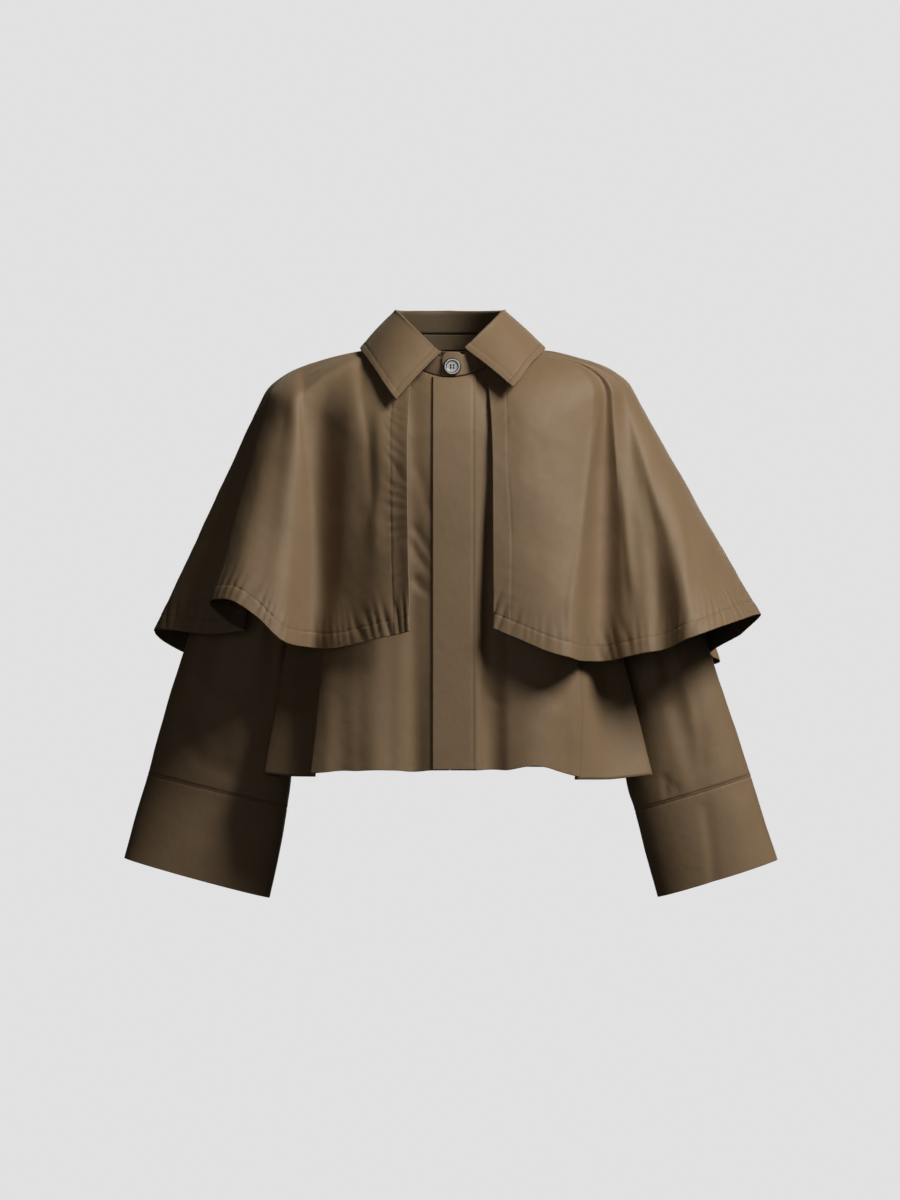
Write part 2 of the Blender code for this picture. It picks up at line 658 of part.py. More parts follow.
def collar_seam_height(angle):
    """Height of the seam between the stand and the fall; the lapped end stands up to the fold line."""
    from_front = abs((angle + 180.0) % 360.0 - 180.0)
    share = min(max((from_front - 12.0) / 78.0, 0.0), 1.0)
    share = share * share * (3 - 2 * share)
    dip = SEAM_DIP * min(max((angle - 9.0) / (FALL_START - 10.0), 0.0), 1.0)
    return mixed(fold_height(angle) - dip - 0.0006, SEAM_BACK_Z, share)


def collar_lean(angle, height):
    """How far the collar leans in at a height, because the fold line is narrower than the neck."""
    bottom = neck_point(angle).z
    share = (height - bottom) / (FOLD_BACK_Z - bottom)
    return (FOLD_HALF_WIDTH - NECK_HALF_WIDTH) * share


def collar_point(angle, height, out):
    base = neck_point(angle, out=out + collar_lean(angle, height))
    return Vector((base.x, base.y, height))


def make_stand(material):
    """The stand: its left end laps over the right one at the front."""
    angles = [STAND_OVERLAP_START, -2.0, 4.0, 9.5]
    angles += spread(FALL_START, FALL_END, COLLAR_STEPS)
    angles += [361.0, STAND_OVERLAP_END]
    middle = 0.5 * (STAND_OVERLAP_START + STAND_OVERLAP_END)
    rows = []
    for level in (0.0, 0.5, 1.0):
        row = []
        for angle in angles:
            from_middle = (angle - middle) / (middle - STAND_OVERLAP_START)
            lap = -STAND_LAP * from_middle * abs(from_middle) ** 5
            height = mixed(collar_seam_height(angle), neck_point(angle).z, level)
            row.append(collar_point(angle, height, 0.001 + lap))
        rows.append(row)
    wall("collar_stand", rows, DOUBLE_CLOTH, material)


def fall_section(angle):
    """One section of the fall: up from the stand's seam, over the fold and down to the outer edge."""
    position = 0.0
    for row in range(len(FALL_EDGE) - 1):
        if FALL_EDGE[row][0] <= angle <= FALL_EDGE[row + 1][0]:
            position = row + (angle - FALL_EDGE[row][0]) / (FALL_EDGE[row + 1][0] - FALL_EDGE[row][0])
    edge = Vector(row_between(FALL_EDGE, position)[1:])
    fold = fold_height(angle)
    seam = collar_seam_height(angle) + 0.0012
    inner_top = fold - 0.0024
    section = [
        collar_point(angle, seam, -0.001),
        collar_point(angle, inner_top, -0.001),
        collar_point(angle, inner_top + 0.0017, 0.0002),
        collar_point(angle, inner_top + 0.0025, 0.0022),
        collar_point(angle, inner_top + 0.0017, 0.0044),
    ]
    start = section[-1]
    away = Vector((edge.x - start.x, edge.y - start.y, 0.0)).normalized()
    for share in (0.1, 0.28, 0.46, 0.64, 0.82, 1.0):
        bulge = FALL_BULGE * math.sin(math.pi * share)
        section.append(mixed(start, edge, share) + away * bulge + Vector((0.0, 0.0, bulge * 0.5)))
    return section


def make_fall(material):
    sections = [fall_section(angle) for angle in spread(FALL_START, FALL_END, COLLAR_STEPS)]
    rows = [list(row) for row in zip(*sections)]
    wall("collar_fall", rows, DOUBLE_CLOTH, material)


def make_placket(material):
    """A strip over the meeting fronts, made from their points and moved forwards."""
    widths = [PLACKET_FREE_EDGE_X, -0.010, -0.001, 0.001, 0.011, 0.021, PLACKET_STITCH_X]
    rows = []
    for level in [PLACKET_TOP_LEVEL] + front_levels()[1:]:
        row = []
        for x in widths:
            side = "right" if x < 0 else "left"
            share = share_at_width(side, level, abs(x))
            surface = front_point(side, level, share)
            row.append(surface + Vector((0.0, -DOUBLE_CLOTH - 0.0006, 0.0010)))
        rows.append(row)
    wall("placket", rows, DOUBLE_CLOTH, material)


def share_at_width(side, level, width):
    """The share along a front's section at which it lies this far from the centre line."""
    low = 0.0
    high = 1.0
    for _ in range(30):
        middle = 0.5 * (low + high)
        if abs(front_point(side, level, middle).x) < width:
            low = middle
        else:
            high = middle
    return 0.5 * (low + high)


def make_button(material):
    """A turned disc with a raised rim, its face to the front, pierced by four holes."""
    face = BUTTON_THICKNESS
    profile = (
        (0.0, face - 0.0011),
        (BUTTON_RADIUS * 0.52, face - 0.0011),
        (BUTTON_RADIUS * 0.68, face - 0.0004),
        (BUTTON_RADIUS * 0.80, face),
        (BUTTON_RADIUS * 0.92, face - 0.0002),
        (BUTTON_RADIUS, face - 0.0010),
        (BUTTON_RADIUS * 0.97, face - 0.0021),
        (BUTTON_RADIUS * 0.80, 0.0),
        (0.0, 0.0),
    )
    mesh = bpy.data.meshes.new("neck_button")
    points = [(radius, 0.0, height) for radius, height in profile]
    mesh.from_pydata(points, [(i, i + 1) for i in range(len(points) - 1)], [])
    button = bpy.data.objects.new("neck_button", mesh)
    jacket.objects.link(button)
    turned = button.modifiers.new("Turned", "SCREW")
    turned.steps = 20
    turned.render_steps = 20
    turned.use_merge_vertices = True
    turned.merge_threshold = 0.00005
    turned.use_smooth_shade = True
    seat = neck_point(0.0, out=0.001 + STAND_LAP)
    button.rotation_euler = (math.radians(90.0 - BUTTON_TILT), 0.0, 0.0)
    button.location = (BUTTON_X, seat.y + BUTTON_SEAT, BUTTON_Z)
    mesh.materials.append(material)
    for column in (-1, 1):
        for level in (-1, 1):
            bpy.ops.mesh.primitive_cylinder_add(vertices=8, radius=BUTTON_HOLE_RADIUS, depth=0.02)
            drill = bpy.context.object
            drill.name = "button_drill"
            drill.parent = button
            drill.location = (column * BUTTON_HOLE_OFFSET, level * BUTTON_HOLE_OFFSET, 0.0)
            drill.hide_render = True
            drill.display_type = "WIRE"
            for owner in list(drill.users_collection):
                owner.objects.unlink(drill)
            cutters.objects.link(drill)
            hole = button.modifiers.new("Hole", "BOOLEAN")
            hole.operation = "DIFFERENCE"
            hole.object = drill


for old in list(bpy.data.objects):
    bpy.data.objects.remove(old, do_unlink=True)

jacket = bpy.data.collections.new("cape_jacket")
cutters = bpy.data.collections.new("cutters")
bpy.context.scene.collection.children.link(jacket)
bpy.context.scene.collection.children.link(cutters)
armhole_loops = {side: armhole_loop(side) for side in ("right", "left")}

BROWN = (0.115, 0.078, 0.047)
for side in ("right", "left"):
    make_front(side, finish("Gabardine front " + side, BROWN, 0.75))
    make_side_panel(side, finish("Gabardine side panel " + side, BROWN, 0.75))
    make_sleeve(side, finish("Gabardine sleeve " + side, BROWN, 0.75))
    make_cuff(side, finish("Gabardine cuff " + side, BROWN, 0.75))
make_back(finish("Gabardine back", BROWN, 0.75))
make_placket(finish("Gabardine placket", BROWN, 0.75))
make_cape(finish("Gabardine cape", BROWN, 0.75))
make_stand(finish("Gabardine collar stand", BROWN, 0.75))
make_fall(finish("Gabardine collar fall", BROWN, 0.75))
make_button(finish("Horn-like button", (0.30, 0.29, 0.28), 0.30))
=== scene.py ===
"""Looks of the cape jacket: each cut piece as a thin shell of cloth with its folds, seams and stitches.

The tables and the functions that shape the pieces are those of the part's source. Tables given to
in_metres are in millimetres and degrees, all else is in metres. The front faces -Y and the wearer's
left is +X. Rows run from the top down, columns counterclockwise from above.
"""
import math

import bmesh
import bpy
import numpy as np
from mathutils import Matrix, Vector, noise


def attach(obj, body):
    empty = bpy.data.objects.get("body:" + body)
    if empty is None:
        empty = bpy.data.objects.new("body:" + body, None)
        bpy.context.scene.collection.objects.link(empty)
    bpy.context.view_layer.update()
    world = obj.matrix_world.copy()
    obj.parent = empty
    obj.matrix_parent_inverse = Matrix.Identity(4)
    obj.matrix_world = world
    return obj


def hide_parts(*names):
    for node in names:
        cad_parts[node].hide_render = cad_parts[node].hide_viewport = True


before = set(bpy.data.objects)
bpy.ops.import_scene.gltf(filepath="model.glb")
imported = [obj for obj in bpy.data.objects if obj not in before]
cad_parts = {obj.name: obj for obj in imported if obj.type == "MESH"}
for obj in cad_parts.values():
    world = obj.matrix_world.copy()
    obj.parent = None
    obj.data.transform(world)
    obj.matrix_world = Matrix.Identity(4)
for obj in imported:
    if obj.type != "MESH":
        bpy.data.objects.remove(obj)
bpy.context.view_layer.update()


# Cloth
SINGLE_CLOTH = 0.0012
DOUBLE_CLOTH = 0.0020
SEAM_GAP = 0.0005

# Neck seam: an egg-shaped ring, low at the front
NECK_HALF_WIDTH = 0.068
NECK_HALF_DEPTH = 0.082
NECK_CENTRE_Y = -0.014
NECK_FRONT_Z = -0.033
NECK_SIDE_Z = 0.006
NECK_DROP = 0.0010
NECK_SEAM_OUT = 0.0006
CAPE_OUT = 0.0026
CAPE_UP = 0.0012

# Shoulder seam and trunk
SHOULDER_END = Vector((0.188, 0.005, -0.036))
SHOULDER_SHARE = 0.42
SHOULDER_RISE = 0.004
UNDERARM = Vector((0.178, 0.018, -0.230))
UNDERARM_HAND = Vector((0.171, -0.014, -0.226))
PLACKET_TOP_LEVEL = 0.04
PLACKET_COLUMNS = (-0.0200, -0.0195, -0.0185, -0.0165, -0.014, -0.011, -0.008, -0.005, -0.002, 0.002,
                   0.005, 0.008, 0.011, 0.014, 0.017, 0.020, 0.023, 0.0255, 0.0275, 0.029, 0.030, 0.0306,
                   0.031)

# Collar
STAND_START = -7.6
STAND_END = 372.0
STAND_LAP = 0.0016
FALL_START = 15.0
FALL_END = 350.6
FOLD_FRONT_HALF_WIDTH = 0.0125
FOLD_HALF_WIDTH = 0.0620
FOLD_FRONT_Z = -0.0040
FOLD_SIDE_Z = 0.0485
FOLD_BACK_Z = 0.0525
SEAM_BACK_Z = 0.024
SEAM_DIP = 0.0056
FOLD_ROLL = 0.0024
FALL_BULGE = 0.0012

# Button
BUTTON_RADIUS = 0.0105
BUTTON_THICKNESS = 0.0034
BUTTON_X = 0.0026
BUTTON_Z = -0.0222
BUTTON_HOLE_RADIUS = 0.0009
BUTTON_HOLE_OFFSET = 0.0017
BUTTON_TILT = 3.0
BUTTON_SEAT = 0.0003

# The button's section: share of its radius, depth below the face
BUTTON_PROFILE = (
    (0.0, 0.0013), (0.25, 0.0013), (0.45, 0.00125), (0.55, 0.0011), (0.61, 0.0008), (0.66, 0.0004),
    (0.71, 0.0001), (0.78, 0.0), (0.86, 0.0001), (0.93, 0.0004), (0.98, 0.0009), (1.0, 0.0014),
    (0.99, 0.0020), (0.92, 0.0030), (0.80, 0.0034), (0.0, 0.0034),
)
# A strand's bend: share of the way to the hole, height above the button's middle
STRAND_BEND = ((-0.68, -0.0022), (-0.60, -0.0001), (-0.35, 0.0003), (0.0, 0.0004), (0.35, 0.0003),
               (0.60, -0.0001), (0.68, -0.0022))
STRAND_RADIUS = 0.00017
STRAND_SPREAD = 0.0002


def in_metres(rows, kept=()):
    """Rows written in millimetres, in metres; words and the kept columns stay as they are."""
    def scaled(value):
        if isinstance(value, tuple):
            return tuple(scaled(part) for part in value)
        return value if isinstance(value, str) else value / 1000.0

    return tuple(tuple(value if place in kept else scaled(value) for place, value in enumerate(row))
                 for row in rows)


# Trunk fronts, one row for each section:
# centre y, centre z, handle x, handle y, edge x, edge y, edge z
FRONT_SECTIONS = in_metres((
    (-125, -100, 150, -110, 169, -52, -118),
    (-135, -150, 152, -113, 168, -53, -165),
    (-140, -195, 154, -110, 169, -42, -203),
    (-143, -255, 150, -121, 158, -78, -262),
    (-146, -330, 138, -136, 150, -107, -335),
    (-149, -420, 132, -145, 156, -120, -424),
))
FRONT_HEM = {
    "right": in_metres(((-152, -497, 128, -152, 165, -128, -501.5),))[0],
    "left": in_metres(((-152, -497, 122, -152, 153, -130, -505.5),))[0],
}
ARMHOLE_SECTIONS = 3

# Trunk back, same columns as the fronts; the third row's edge is the underarm
BACK_SECTIONS = in_metres((
    (109, -105, 140, 124, 170, 66, -128),
    (116, -160, 145, 130, 170, 64, -180),
    (121, -225, 160, 120, 178, 18, -230),
    (125, -300, 158, 122, 177, 18, -302),
    (131, -395, 152, 130, 175, 19, -397),
    (138, -502, 150, 141, 173, 20, -503),
))

# Soft folds of the fronts: side, centre x, half width, depth (in is positive), starting height,
# and how far the hem moves up there
FRONT_FOLDS = in_metres((
    ("right", 43, 22, 5, -330, -2),
    ("right", 88, 24, -4.5, -300, 0.6),
    ("right", 128, 20, 4, -340, 1),
    ("left", 50, 20, 5, -150, 1),
    ("left", 102, 44, -6.5, -300, 6.8),
    ("left", 134, 14, 4, -340, 0),
))

# Side panels, one row for each line down the panel: share of the underarm arc, hem x, hem y, hem z
SIDE_PANEL_LINES = {
    "right": in_metres((
        (0.3, 188, -98, -505.5),
        (0.48, 222, -73, -503.5),
        (0.62, 208, -48, -508),
        (0.8, 182, -22, -506),
    ), kept=(0,)),
    "left": in_metres((
        (0.3, 190, -101, -509),
        (0.48, 240, -70, -504.5),
        (0.62, 218, -45, -506),
        (0.8, 186, -20, -505),
    ), kept=(0,)),
}
SIDE_PANEL_TUCK = 0.0050
SIDE_PANEL_DEPTH = 0.0036

# Sleeves, one row for each ring: outer x, outer z, inner x, inner z, centre y, half depth
SLEEVE_RINGS = {
    "right": in_metres((
        (203, -47, 183.5, -240, 8, 66),
        (215, -75, 187, -256, 10, 64),
        (235, -125, 190, -282, 12, 60),
        (258, -188, 191.5, -325, 15, 56),
        (288, -270, 191, -385, 18, 50),
        (321, -360, 190, -445, 20, 46),
        (347, -445, 190.5, -505, 21, 43),
        (363, -505, 195.5, -545, 22, 41),
    )),
    "left": in_metres((
        (203, -44, 183.5, -240, 8, 66),
        (217, -75, 187, -256, 10, 64),
        (237, -125, 192, -282, 12, 60),
        (257, -188, 196, -325, 15, 56),
        (284, -270, 199, -385, 18, 50),
        (313, -360, 203, -450, 20, 46),
        (343, -450, 212, -515, 21, 43),
        (361.5, -507, 222, -549, 22, 41),
    )),
}
CUFF_RINGS = {
    "right": SLEEVE_RINGS["right"][-1:] + in_metres((
        (378.5, -557, 205, -601, 22, 40),
        (392.5, -608, 217, -656, 22, 38),
    )),
    "left": SLEEVE_RINGS["left"][-1:] + in_metres((
        (377, -558, 235, -601, 22, 40),
        (394.5, -610, 250, -655, 22, 38),
    )),
}
SLEEVE_SEAM_SHIFT = 0.0005
CUFF_LENGTH = 0.114
ROUND = [i / 112 for i in range(112)]

# Soft folds down the sleeves: side, share round the ring, half width, depth (in is positive),
# first ring, last ring
SLEEVE_FOLDS = in_metres((
    ("right", 0.13, 0.06, 6, 1, 8),
    ("right", 0.34, 0.055, 7, 0.6, 7),
    ("right", 0.8, 0.06, 7, 1, 8),
    ("left", 0.23, 0.045, 5.5, 2.5, 9),
    ("left", 0.36, 0.055, 7, 0.6, 7),
    ("left", 0.7, 0.06, 7, 1, 8),
), kept=(1, 2, 4, 5))

# Cape ribs, one row for each: neck angle, shoulder x, y, z, hem x, y, z, bend.
# A rib rounds the shoulder from the neck to its shoulder point, then falls straight to the hem.
CAPE_RIGHT_RIBS = in_metres((
    (37, -49, -150, -150, -45, -187, -335, 80),
    (44, -74, -141, -140, -82, -172, -342, 75),
    (51, -96, -129, -120, -111, -154, -349.5, 70),
    (58, -119, -117, -102, -138, -138.5, -354.5, 65),
    (66, -152, -92, -84, -164, -119, -353.5, 60),
    (73, -180, -94, -72, -195, -168, -345, 55),
    (78, -196, -81, -66, -226, -168, -317, 50),
    (82, -208, -65, -62, -256, -158, -298, 48),
    (85, -217, -44, -58, -283, -122, -300, 46),
    (87, -216, -32, -57, -266, -90, -320, 45),
    (89, -213, -27, -56, -243, -78, -334, 45),
), kept=(0,))
CAPE_BACK_RIBS = in_metres((
    (89, -213, -27, -56, -243, -78, -334, 45),
    (91, -216, -19, -55, -286, -62, -338, 45),
    (93, -222.5, -9, -54, -332.5, -38, -333.5, 45),
    (96, -225.5, 0, -54, -354.5, 0, -334, 45),
    (102, -222.5, 20, -54, -342, 40, -350, 45),
    (112, -208, 50, -54, -302, 82, -369, 45),
    (125, -180, 80, -52, -235, 112, -378, 45),
    (140, -130, 99, -48, -155, 152, -377, 45),
    (157, -70, 109, -44, -82, 150, -385, 45),
    (176, -10, 113, -42, -8, 170, -380, 45),
    (198, 62, 110, -44, 70, 152, -386, 45),
    (215, 120, 101, -47, 148, 155, -380, 45),
    (232, 172, 84, -51, 228, 118, -383, 45),
    (245, 199, 62, -52, 295, 108, -379, 45),
    (251, 206, 50, -51, 329, 90, -373, 45),
    (257, 210, 38, -49, 316, 58, -361, 44),
    (262, 213.5, 24, -46, 350, 26, -339.5, 44),
), kept=(0,))
CAPE_LEFT_RIBS = in_metres((
    (98, 213.5, 24, -46, 350, 26, -339.5, 44),
    (94, 217, 10, -44, 370.5, 0, -319, 45),
    (90, 218, -6, -44, 366.5, -36, -315, 45),
    (87, 215, -25, -47, 338.5, -104, -322.5, 45),
    (84, 210, -39, -51, 293, -160, -337.2, 44),
    (80, 204, -49, -54, 249, -143, -354.2, 46),
    (75, 194, -65, -56, 206, -131, -363.8, 48),
    (71, 183, -64, -57, 175, -117, -369, 50),
    (67, 173, -87, -59, 153, -170, -368, 52),
    (63, 164, -96, -63, 133, -186, -363, 55),
    (55, 130, -119, -85, 110, -184, -356, 62),
    (46, 90, -136, -115, 82, -176, -344, 70),
    (37, 50, -142, -150, 51, -165, -331, 80),
), kept=(0,))

# Collar fall, one row for each place along its outer edge: angle round the neck, x, y, z
FALL_EDGE = in_metres((
    (15, 73.8, -131, -47),
    (32, 83.5, -120, -35.5),
    (50, 96, -96, -18),
    (68, 108, -62, -5),
    (88, 113.5, -26, 4),
    (115, 102, 36, 8),
    (145, 64, 82, 5),
    (180, 0, 100, 2),
    (215, -62, 82, 5),
    (245, -97, 36, 8),
    (272, -107, -26, 3.5),
    (291, -99, -66, -10),
    (309, -88, -97, -26),
    (330, -75.5, -120, -45.5),
    (350.6, -63.5, -132, -62),
), kept=(0,))

# Seams: how far in they run
CAPE_HEM_DEPTH = 0.018
CAPE_BAND = 0.022
COLLAR_STITCH = 0.0085
STAND_END_ROUNDING = 0.006
CAPE_WAVES = 0.0012

# Relief of the cloth
BAND_HEIGHT = 0.00035
THREAD_SINK = 0.00045
THREAD_LIFT = 0.00012
PUCKER_SLANT = 34.0
QUIET_EDGE = 0.02

# Studio
FLOOR_Z = -0.80
BACKDROP = 0.755
AMBIENT = 0.016
CAMERA_LENS = 150.0
CAMERA_PLACE = (0.0, -6.0, -0.2976)
LIGHTS = (
    ("key", (2.45, -2.20, 2.60), (0.0, 0.0, -0.20), 1.5, 1.5, 222.0, (1.0, 0.985, 0.955)),
    ("fill", (-1.0, -5.0, -0.3), (0.0, 0.0, -0.3), 2.0, 2.0, 20.0, (1.0, 0.98, 0.95)),
    ("back", (0.9, 4.6, 0.5), (0.0, 0.0, -0.3), 2.4, 2.4, 60.0, (1.0, 0.98, 0.95)),
)
CLOTH_DARK = (0.170, 0.108, 0.056)
CLOTH_LIGHT = (0.240, 0.157, 0.084)
# The same cloth darkened for inner sides and the inside of the neck: painted shade
INSIDE_PAINTED_SHADE_DARK = (0.070, 0.045, 0.023)
INSIDE_PAINTED_SHADE_LIGHT = (0.105, 0.069, 0.037)

# Creases, drawn in front view unless named otherwise:
# points (x, z), half width, height (in is negative), lean to one side
FRONT_CREASES = {
    "right": in_metres((
        (((-47, 60), (-44, -200), (-42, -500), (-42, -620)), 12, -4.5, 0.3),
        (((-48, -205), (-36, -225), (-23, -245)), 5, -2.2, 0.3),
        (((-50, -222), (-38, -243), (-22, -268)), 5, -2.2, -0.3),
        (((-46, -268), (-36, -283), (-24, -291)), 6, -2.4, 0.3),
        (((-44, -130), (-34, -160), (-26, -200)), 6, -1.5, 0.3),
    ), kept=(3,)),
    "left": in_metres((
        (((50, -120), (46, -250), (44, -500), (44, -620)), 13, -5.5, 0.4),
        (((36, -385), (46, -410), (60, -425)), 5, -1.5, 0.3),
        (((70, -370), (110, -400), (140, -430)), 12, -1.5, 0.3),
    ), kept=(3,)),
}
SLEEVE_FRONT_CREASES = {
    "right": in_metres((
        (((-330, -360), (-280, -420), (-220, -450)), 14, -3, 0.3),
        (((-350, -420), (-300, -490), (-230, -520)), 12, -2, 0.2),
        (((-250, -380), (-262, -500)), 10, 2, 0.2),
    ), kept=(3,)),
    "left": in_metres((
        (((330, -340), (290, -400), (240, -440)), 14, -3, 0.3),
        (((295, -400), (306, -520)), 8, -2, 0.3),
        (((256, -500), (262, -560)), 5, -2, 0.2),
        (((268, -510), (272, -560)), 4, -1.5, 0.2),
    ), kept=(3,)),
}
SLEEVE_BACK_CREASES = {
    "right": in_metres((
        (((-320, -300), (-270, -380), (-210, -420)), 14, -4, 0.3),
        (((-340, -400), (-290, -460), (-220, -500)), 12, -3, 0.2),
    ), kept=(3,)),
    "left": in_metres((
        (((310, -300), (260, -370), (215, -420)), 14, -4, -0.3),
        (((340, -420), (290, -470), (240, -510)), 12, -3, 0.2),
    ), kept=(3,)),
}
CUFF_CREASES = {
    "right": in_metres((
        (((-260, -500), (-300, -600)), 14, -1.2, 0.2),
    ), kept=(3,)),
    "left": in_metres((
        (((300, -515), (312, -600), (318, -680)), 7, -2.2, 0.3),
        (((345, -520), (350, -660)), 16, 1.5, 0),
    ), kept=(3,)),
}
BACK_CREASES = in_metres((
    (((-60, -200), (-66, -550)), 20, -4, 0.2),
    (((50, -240), (58, -550)), 18, -4, -0.2),
    (((120, -300), (128, -550)), 16, 3, 0),
    (((-120, -280), (-126, -550)), 16, 3, 0),
), kept=(3,))
CAPE_RIGHT_CREASES = in_metres((
    (((-184, 60), (-172, -60), (-160, -160), (-152, -260), (-146, -370)), 22, -6.2, 0.6),
    (((-112, 40), (-104, -50), (-94, -110), (-88, -220)), 10, -3, 0.3),
    (((-86, -60), (-84, -140), (-88, -260)), 10, 3, 0),
    (((-50, 100), (-45, -120), (-42, -260), (-41, -600)), 14, 5, 0),
), kept=(3,))
CAPE_LEFT_CREASES = in_metres((
    (((190, -20), (170, -100), (154, -220), (140, -300), (136, -440)), 6, 2.2, 0.3),
    (((194, -60), (186, -120), (176, -220), (166, -500)), 28, -8, 0.4),
    (((204, -140), (208, -220), (216, -310)), 6, 2.4, 0.2),
    (((226, -120), (242, -220), (248, -460)), 18, -7, 0.45),
    (((252, -120), (272, -220), (282, -460)), 12, 3, -0.3),
    (((104, -16.5), (140, -20), (182, -23)), 2.2, -0.7, 0),
), kept=(3,))
CAPE_BACK_CREASES = in_metres((
    (((-80, -160), (-110, -280), (-120, -460)), 18, -5, 0.2),
    (((35, -160), (38, -280), (34, -460)), 18, -5, -0.2),
    (((150, -100), (190, -250), (195, -420)), 16, -5, 0.2),
    (((-170, -100), (-210, -250), (-240, -420)), 16, -5, 0.2),
), kept=(3,))


def row_between(table, position):
    """Smooth values between the rows of a table; position counts rows and may be fractional."""
    last = len(table) - 1
    position = min(max(position, 0.0), float(last))
    start = min(int(position), last - 1)
    share = position - start
    here = table[start]
    after = table[start + 1]
    before = table[start - 1] if start > 0 else tuple(2 * a - b for a, b in zip(here, after))
    beyond = table[start + 2] if start + 2 <= last else tuple(2 * b - a for a, b in zip(here, after))
    values = []
    for a, b, c, d in zip(before, here, after, beyond):
        line = 2 * b + (c - a) * share
        curve = (2 * a - 5 * b + 4 * c - d) * share ** 2 + (3 * b - a - 3 * c + d) * share ** 3
        values.append(0.5 * (line + curve))
    return tuple(values)


def soft_hump(distance, half_width):
    """1 at the middle of a fold, falling smoothly to 0 at its sides."""
    share = min(abs(distance) / half_width, 1.0)
    return 0.5 + 0.5 * math.cos(math.pi * share)


def mixed(a, b, share):
    return a + (b - a) * share


def bent(start, hand, end, share):
    """A point on the curve from start to end that leans towards the hand."""
    rest = 1.0 - share
    return start * rest ** 2 + hand * 2 * rest * share + end * share ** 2


def from_front(angle):
    """Degrees from centre front, the same on both sides."""
    return abs((angle + 180.0) % 360.0 - 180.0)


def neck_point(angle, out=0.0, up=0.0):
    """A point on the neck seam: angle 0 at centre front, 90 at the wearer's left, 180 at centre back."""
    turn = math.radians(angle)
    rise = math.sin(math.radians(min(from_front(angle), 100.0) * 0.9)) ** 2
    x = (NECK_HALF_WIDTH + out) * math.sin(turn)
    y = NECK_CENTRE_Y - (NECK_HALF_DEPTH + out) * math.cos(turn)
    return Vector((x, y, mixed(NECK_FRONT_Z, NECK_SIDE_Z, rise) + up))


def side_sign(side):
    return -1.0 if side == "right" else 1.0


def top_edge(share, front):
    """The trunk's top edge on the wearer's left: the neck seam, then the shoulder seam to its end."""
    last = 88.0 if front else 92.0
    turn = mixed(0.0 if front else 180.0, last, min(share / SHOULDER_SHARE, 1.0))
    point = neck_point(turn, out=NECK_SEAM_OUT, up=-SEAM_GAP - NECK_DROP)
    if share <= SHOULDER_SHARE:
        return point
    along = (share - SHOULDER_SHARE) / (1.0 - SHOULDER_SHARE)
    seam = mixed(point, SHOULDER_END, along)
    seam.y = mixed(point.y, SHOULDER_END.y + (-2 if front else 2) * SEAM_GAP, along)
    seam.z += SHOULDER_RISE * math.sin(math.pi * along)
    return seam


def section_point(row, share):
    """A point on one section of the trunk, from its centre line (0) to its edge (1)."""
    centre_y, centre_z, hand_x, hand_y, edge_x, edge_y, edge_z = row
    near = Vector((0.0, centre_y))
    near_hand = Vector((hand_x * 0.6, centre_y))
    far_hand = Vector((hand_x, hand_y))
    far = Vector((edge_x, edge_y))
    rest = 1.0 - share
    flat = (near * rest ** 3 + near_hand * 3 * rest ** 2 * share
            + far_hand * 3 * rest * share ** 2 + far * share ** 3)
    return Vector((flat.x, flat.y, mixed(centre_z, edge_z, share ** 3)))


def trunk_row(sections, level, share, front):
    """A point of a trunk panel: level 0 is the top edge, 1 the first section, 2 the second and so on."""
    if level >= 1.0:
        return section_point(row_between(sections, level - 1.0), share)
    start = top_edge(share, front)
    end = section_point(sections[0], share)
    bend = Vector((mixed(start.x, end.x, 0.50), mixed(start.y, end.y, 0.56), mixed(start.z, end.z, 0.31)))
    return bent(start, bend, end, level)


def front_point(side, level, share):
    """A point of a trunk front, with its soft folds, mirrored for the right side."""
    sections = FRONT_SECTIONS + (FRONT_HEM[side],)
    point = trunk_row(sections, level, share, front=True)
    for fold_side, centre, half_width, depth, start_z, hem_lift in FRONT_FOLDS:
        if fold_side == side and point.z < start_z:
            growth = min((start_z - point.z) / 0.20, 1.0)
            hump = growth * soft_hump(point.x - centre, half_width)
            point.y += depth * hump
            point.z += hem_lift * hump
    point.x *= side_sign(side)
    return point


def back_point(level, share):
    """A point of the trunk back: share runs from -1 at the wearer's left to 1 at the right."""
    point = trunk_row(BACK_SECTIONS, level, abs(share), front=False)
    if share > 0:
        point.x = -point.x
    return point


def underarm_point(side, share):
    """The bottom of the armhole, from the front's edge (0) to the side seam (1)."""
    point = bent(section_point(FRONT_SECTIONS[ARMHOLE_SECTIONS - 1], 1.0), UNDERARM_HAND, UNDERARM, share)
    point.x *= side_sign(side)
    return point


def spread(first, last, steps):
    return [first + (last - first) * i / steps for i in range(steps + 1)]


def side_panel_rows(side, steps):
    """Rows of a side panel: tucked behind the front's edge, out to its fold, back to the side seam."""
    sign = side_sign(side)
    rows = []
    hem_level = len(FRONT_SECTIONS) + 1.0
    for step in range(steps + 1):
        down = step / steps
        level = mixed(float(ARMHOLE_SECTIONS), hem_level, down)
        edge = front_point(side, level, 1.0)
        inner = front_point(side, level, 0.90)
        along = (inner - edge).normalized()
        behind = Vector((-along.y * sign, along.x * sign, 0.0)).normalized()
        if behind.y < 0:
            behind = -behind
        tuck = min(0.002 + down * 0.03, SIDE_PANEL_TUCK)
        lift = Vector((0.0, 0.0, -0.0025 - 0.0015 * down))
        row = [edge + along * tuck + behind * SIDE_PANEL_DEPTH + lift]
        for share, hem_x, hem_y, hem_z in SIDE_PANEL_LINES[side]:
            top = underarm_point(side, share) + Vector((0.0, 0.0, -0.001))
            row.append(mixed(top, Vector((hem_x * sign, hem_y, hem_z)), down))
        seam_level = mixed(float(ARMHOLE_SECTIONS), float(len(BACK_SECTIONS)), down)
        seam = trunk_row(BACK_SECTIONS, seam_level, 1.0, front=False)
        row.append(Vector((seam.x * sign, seam.y - SEAM_GAP, seam.z - 0.001 * (1 - down))))
        rows.append(row)
    return rows


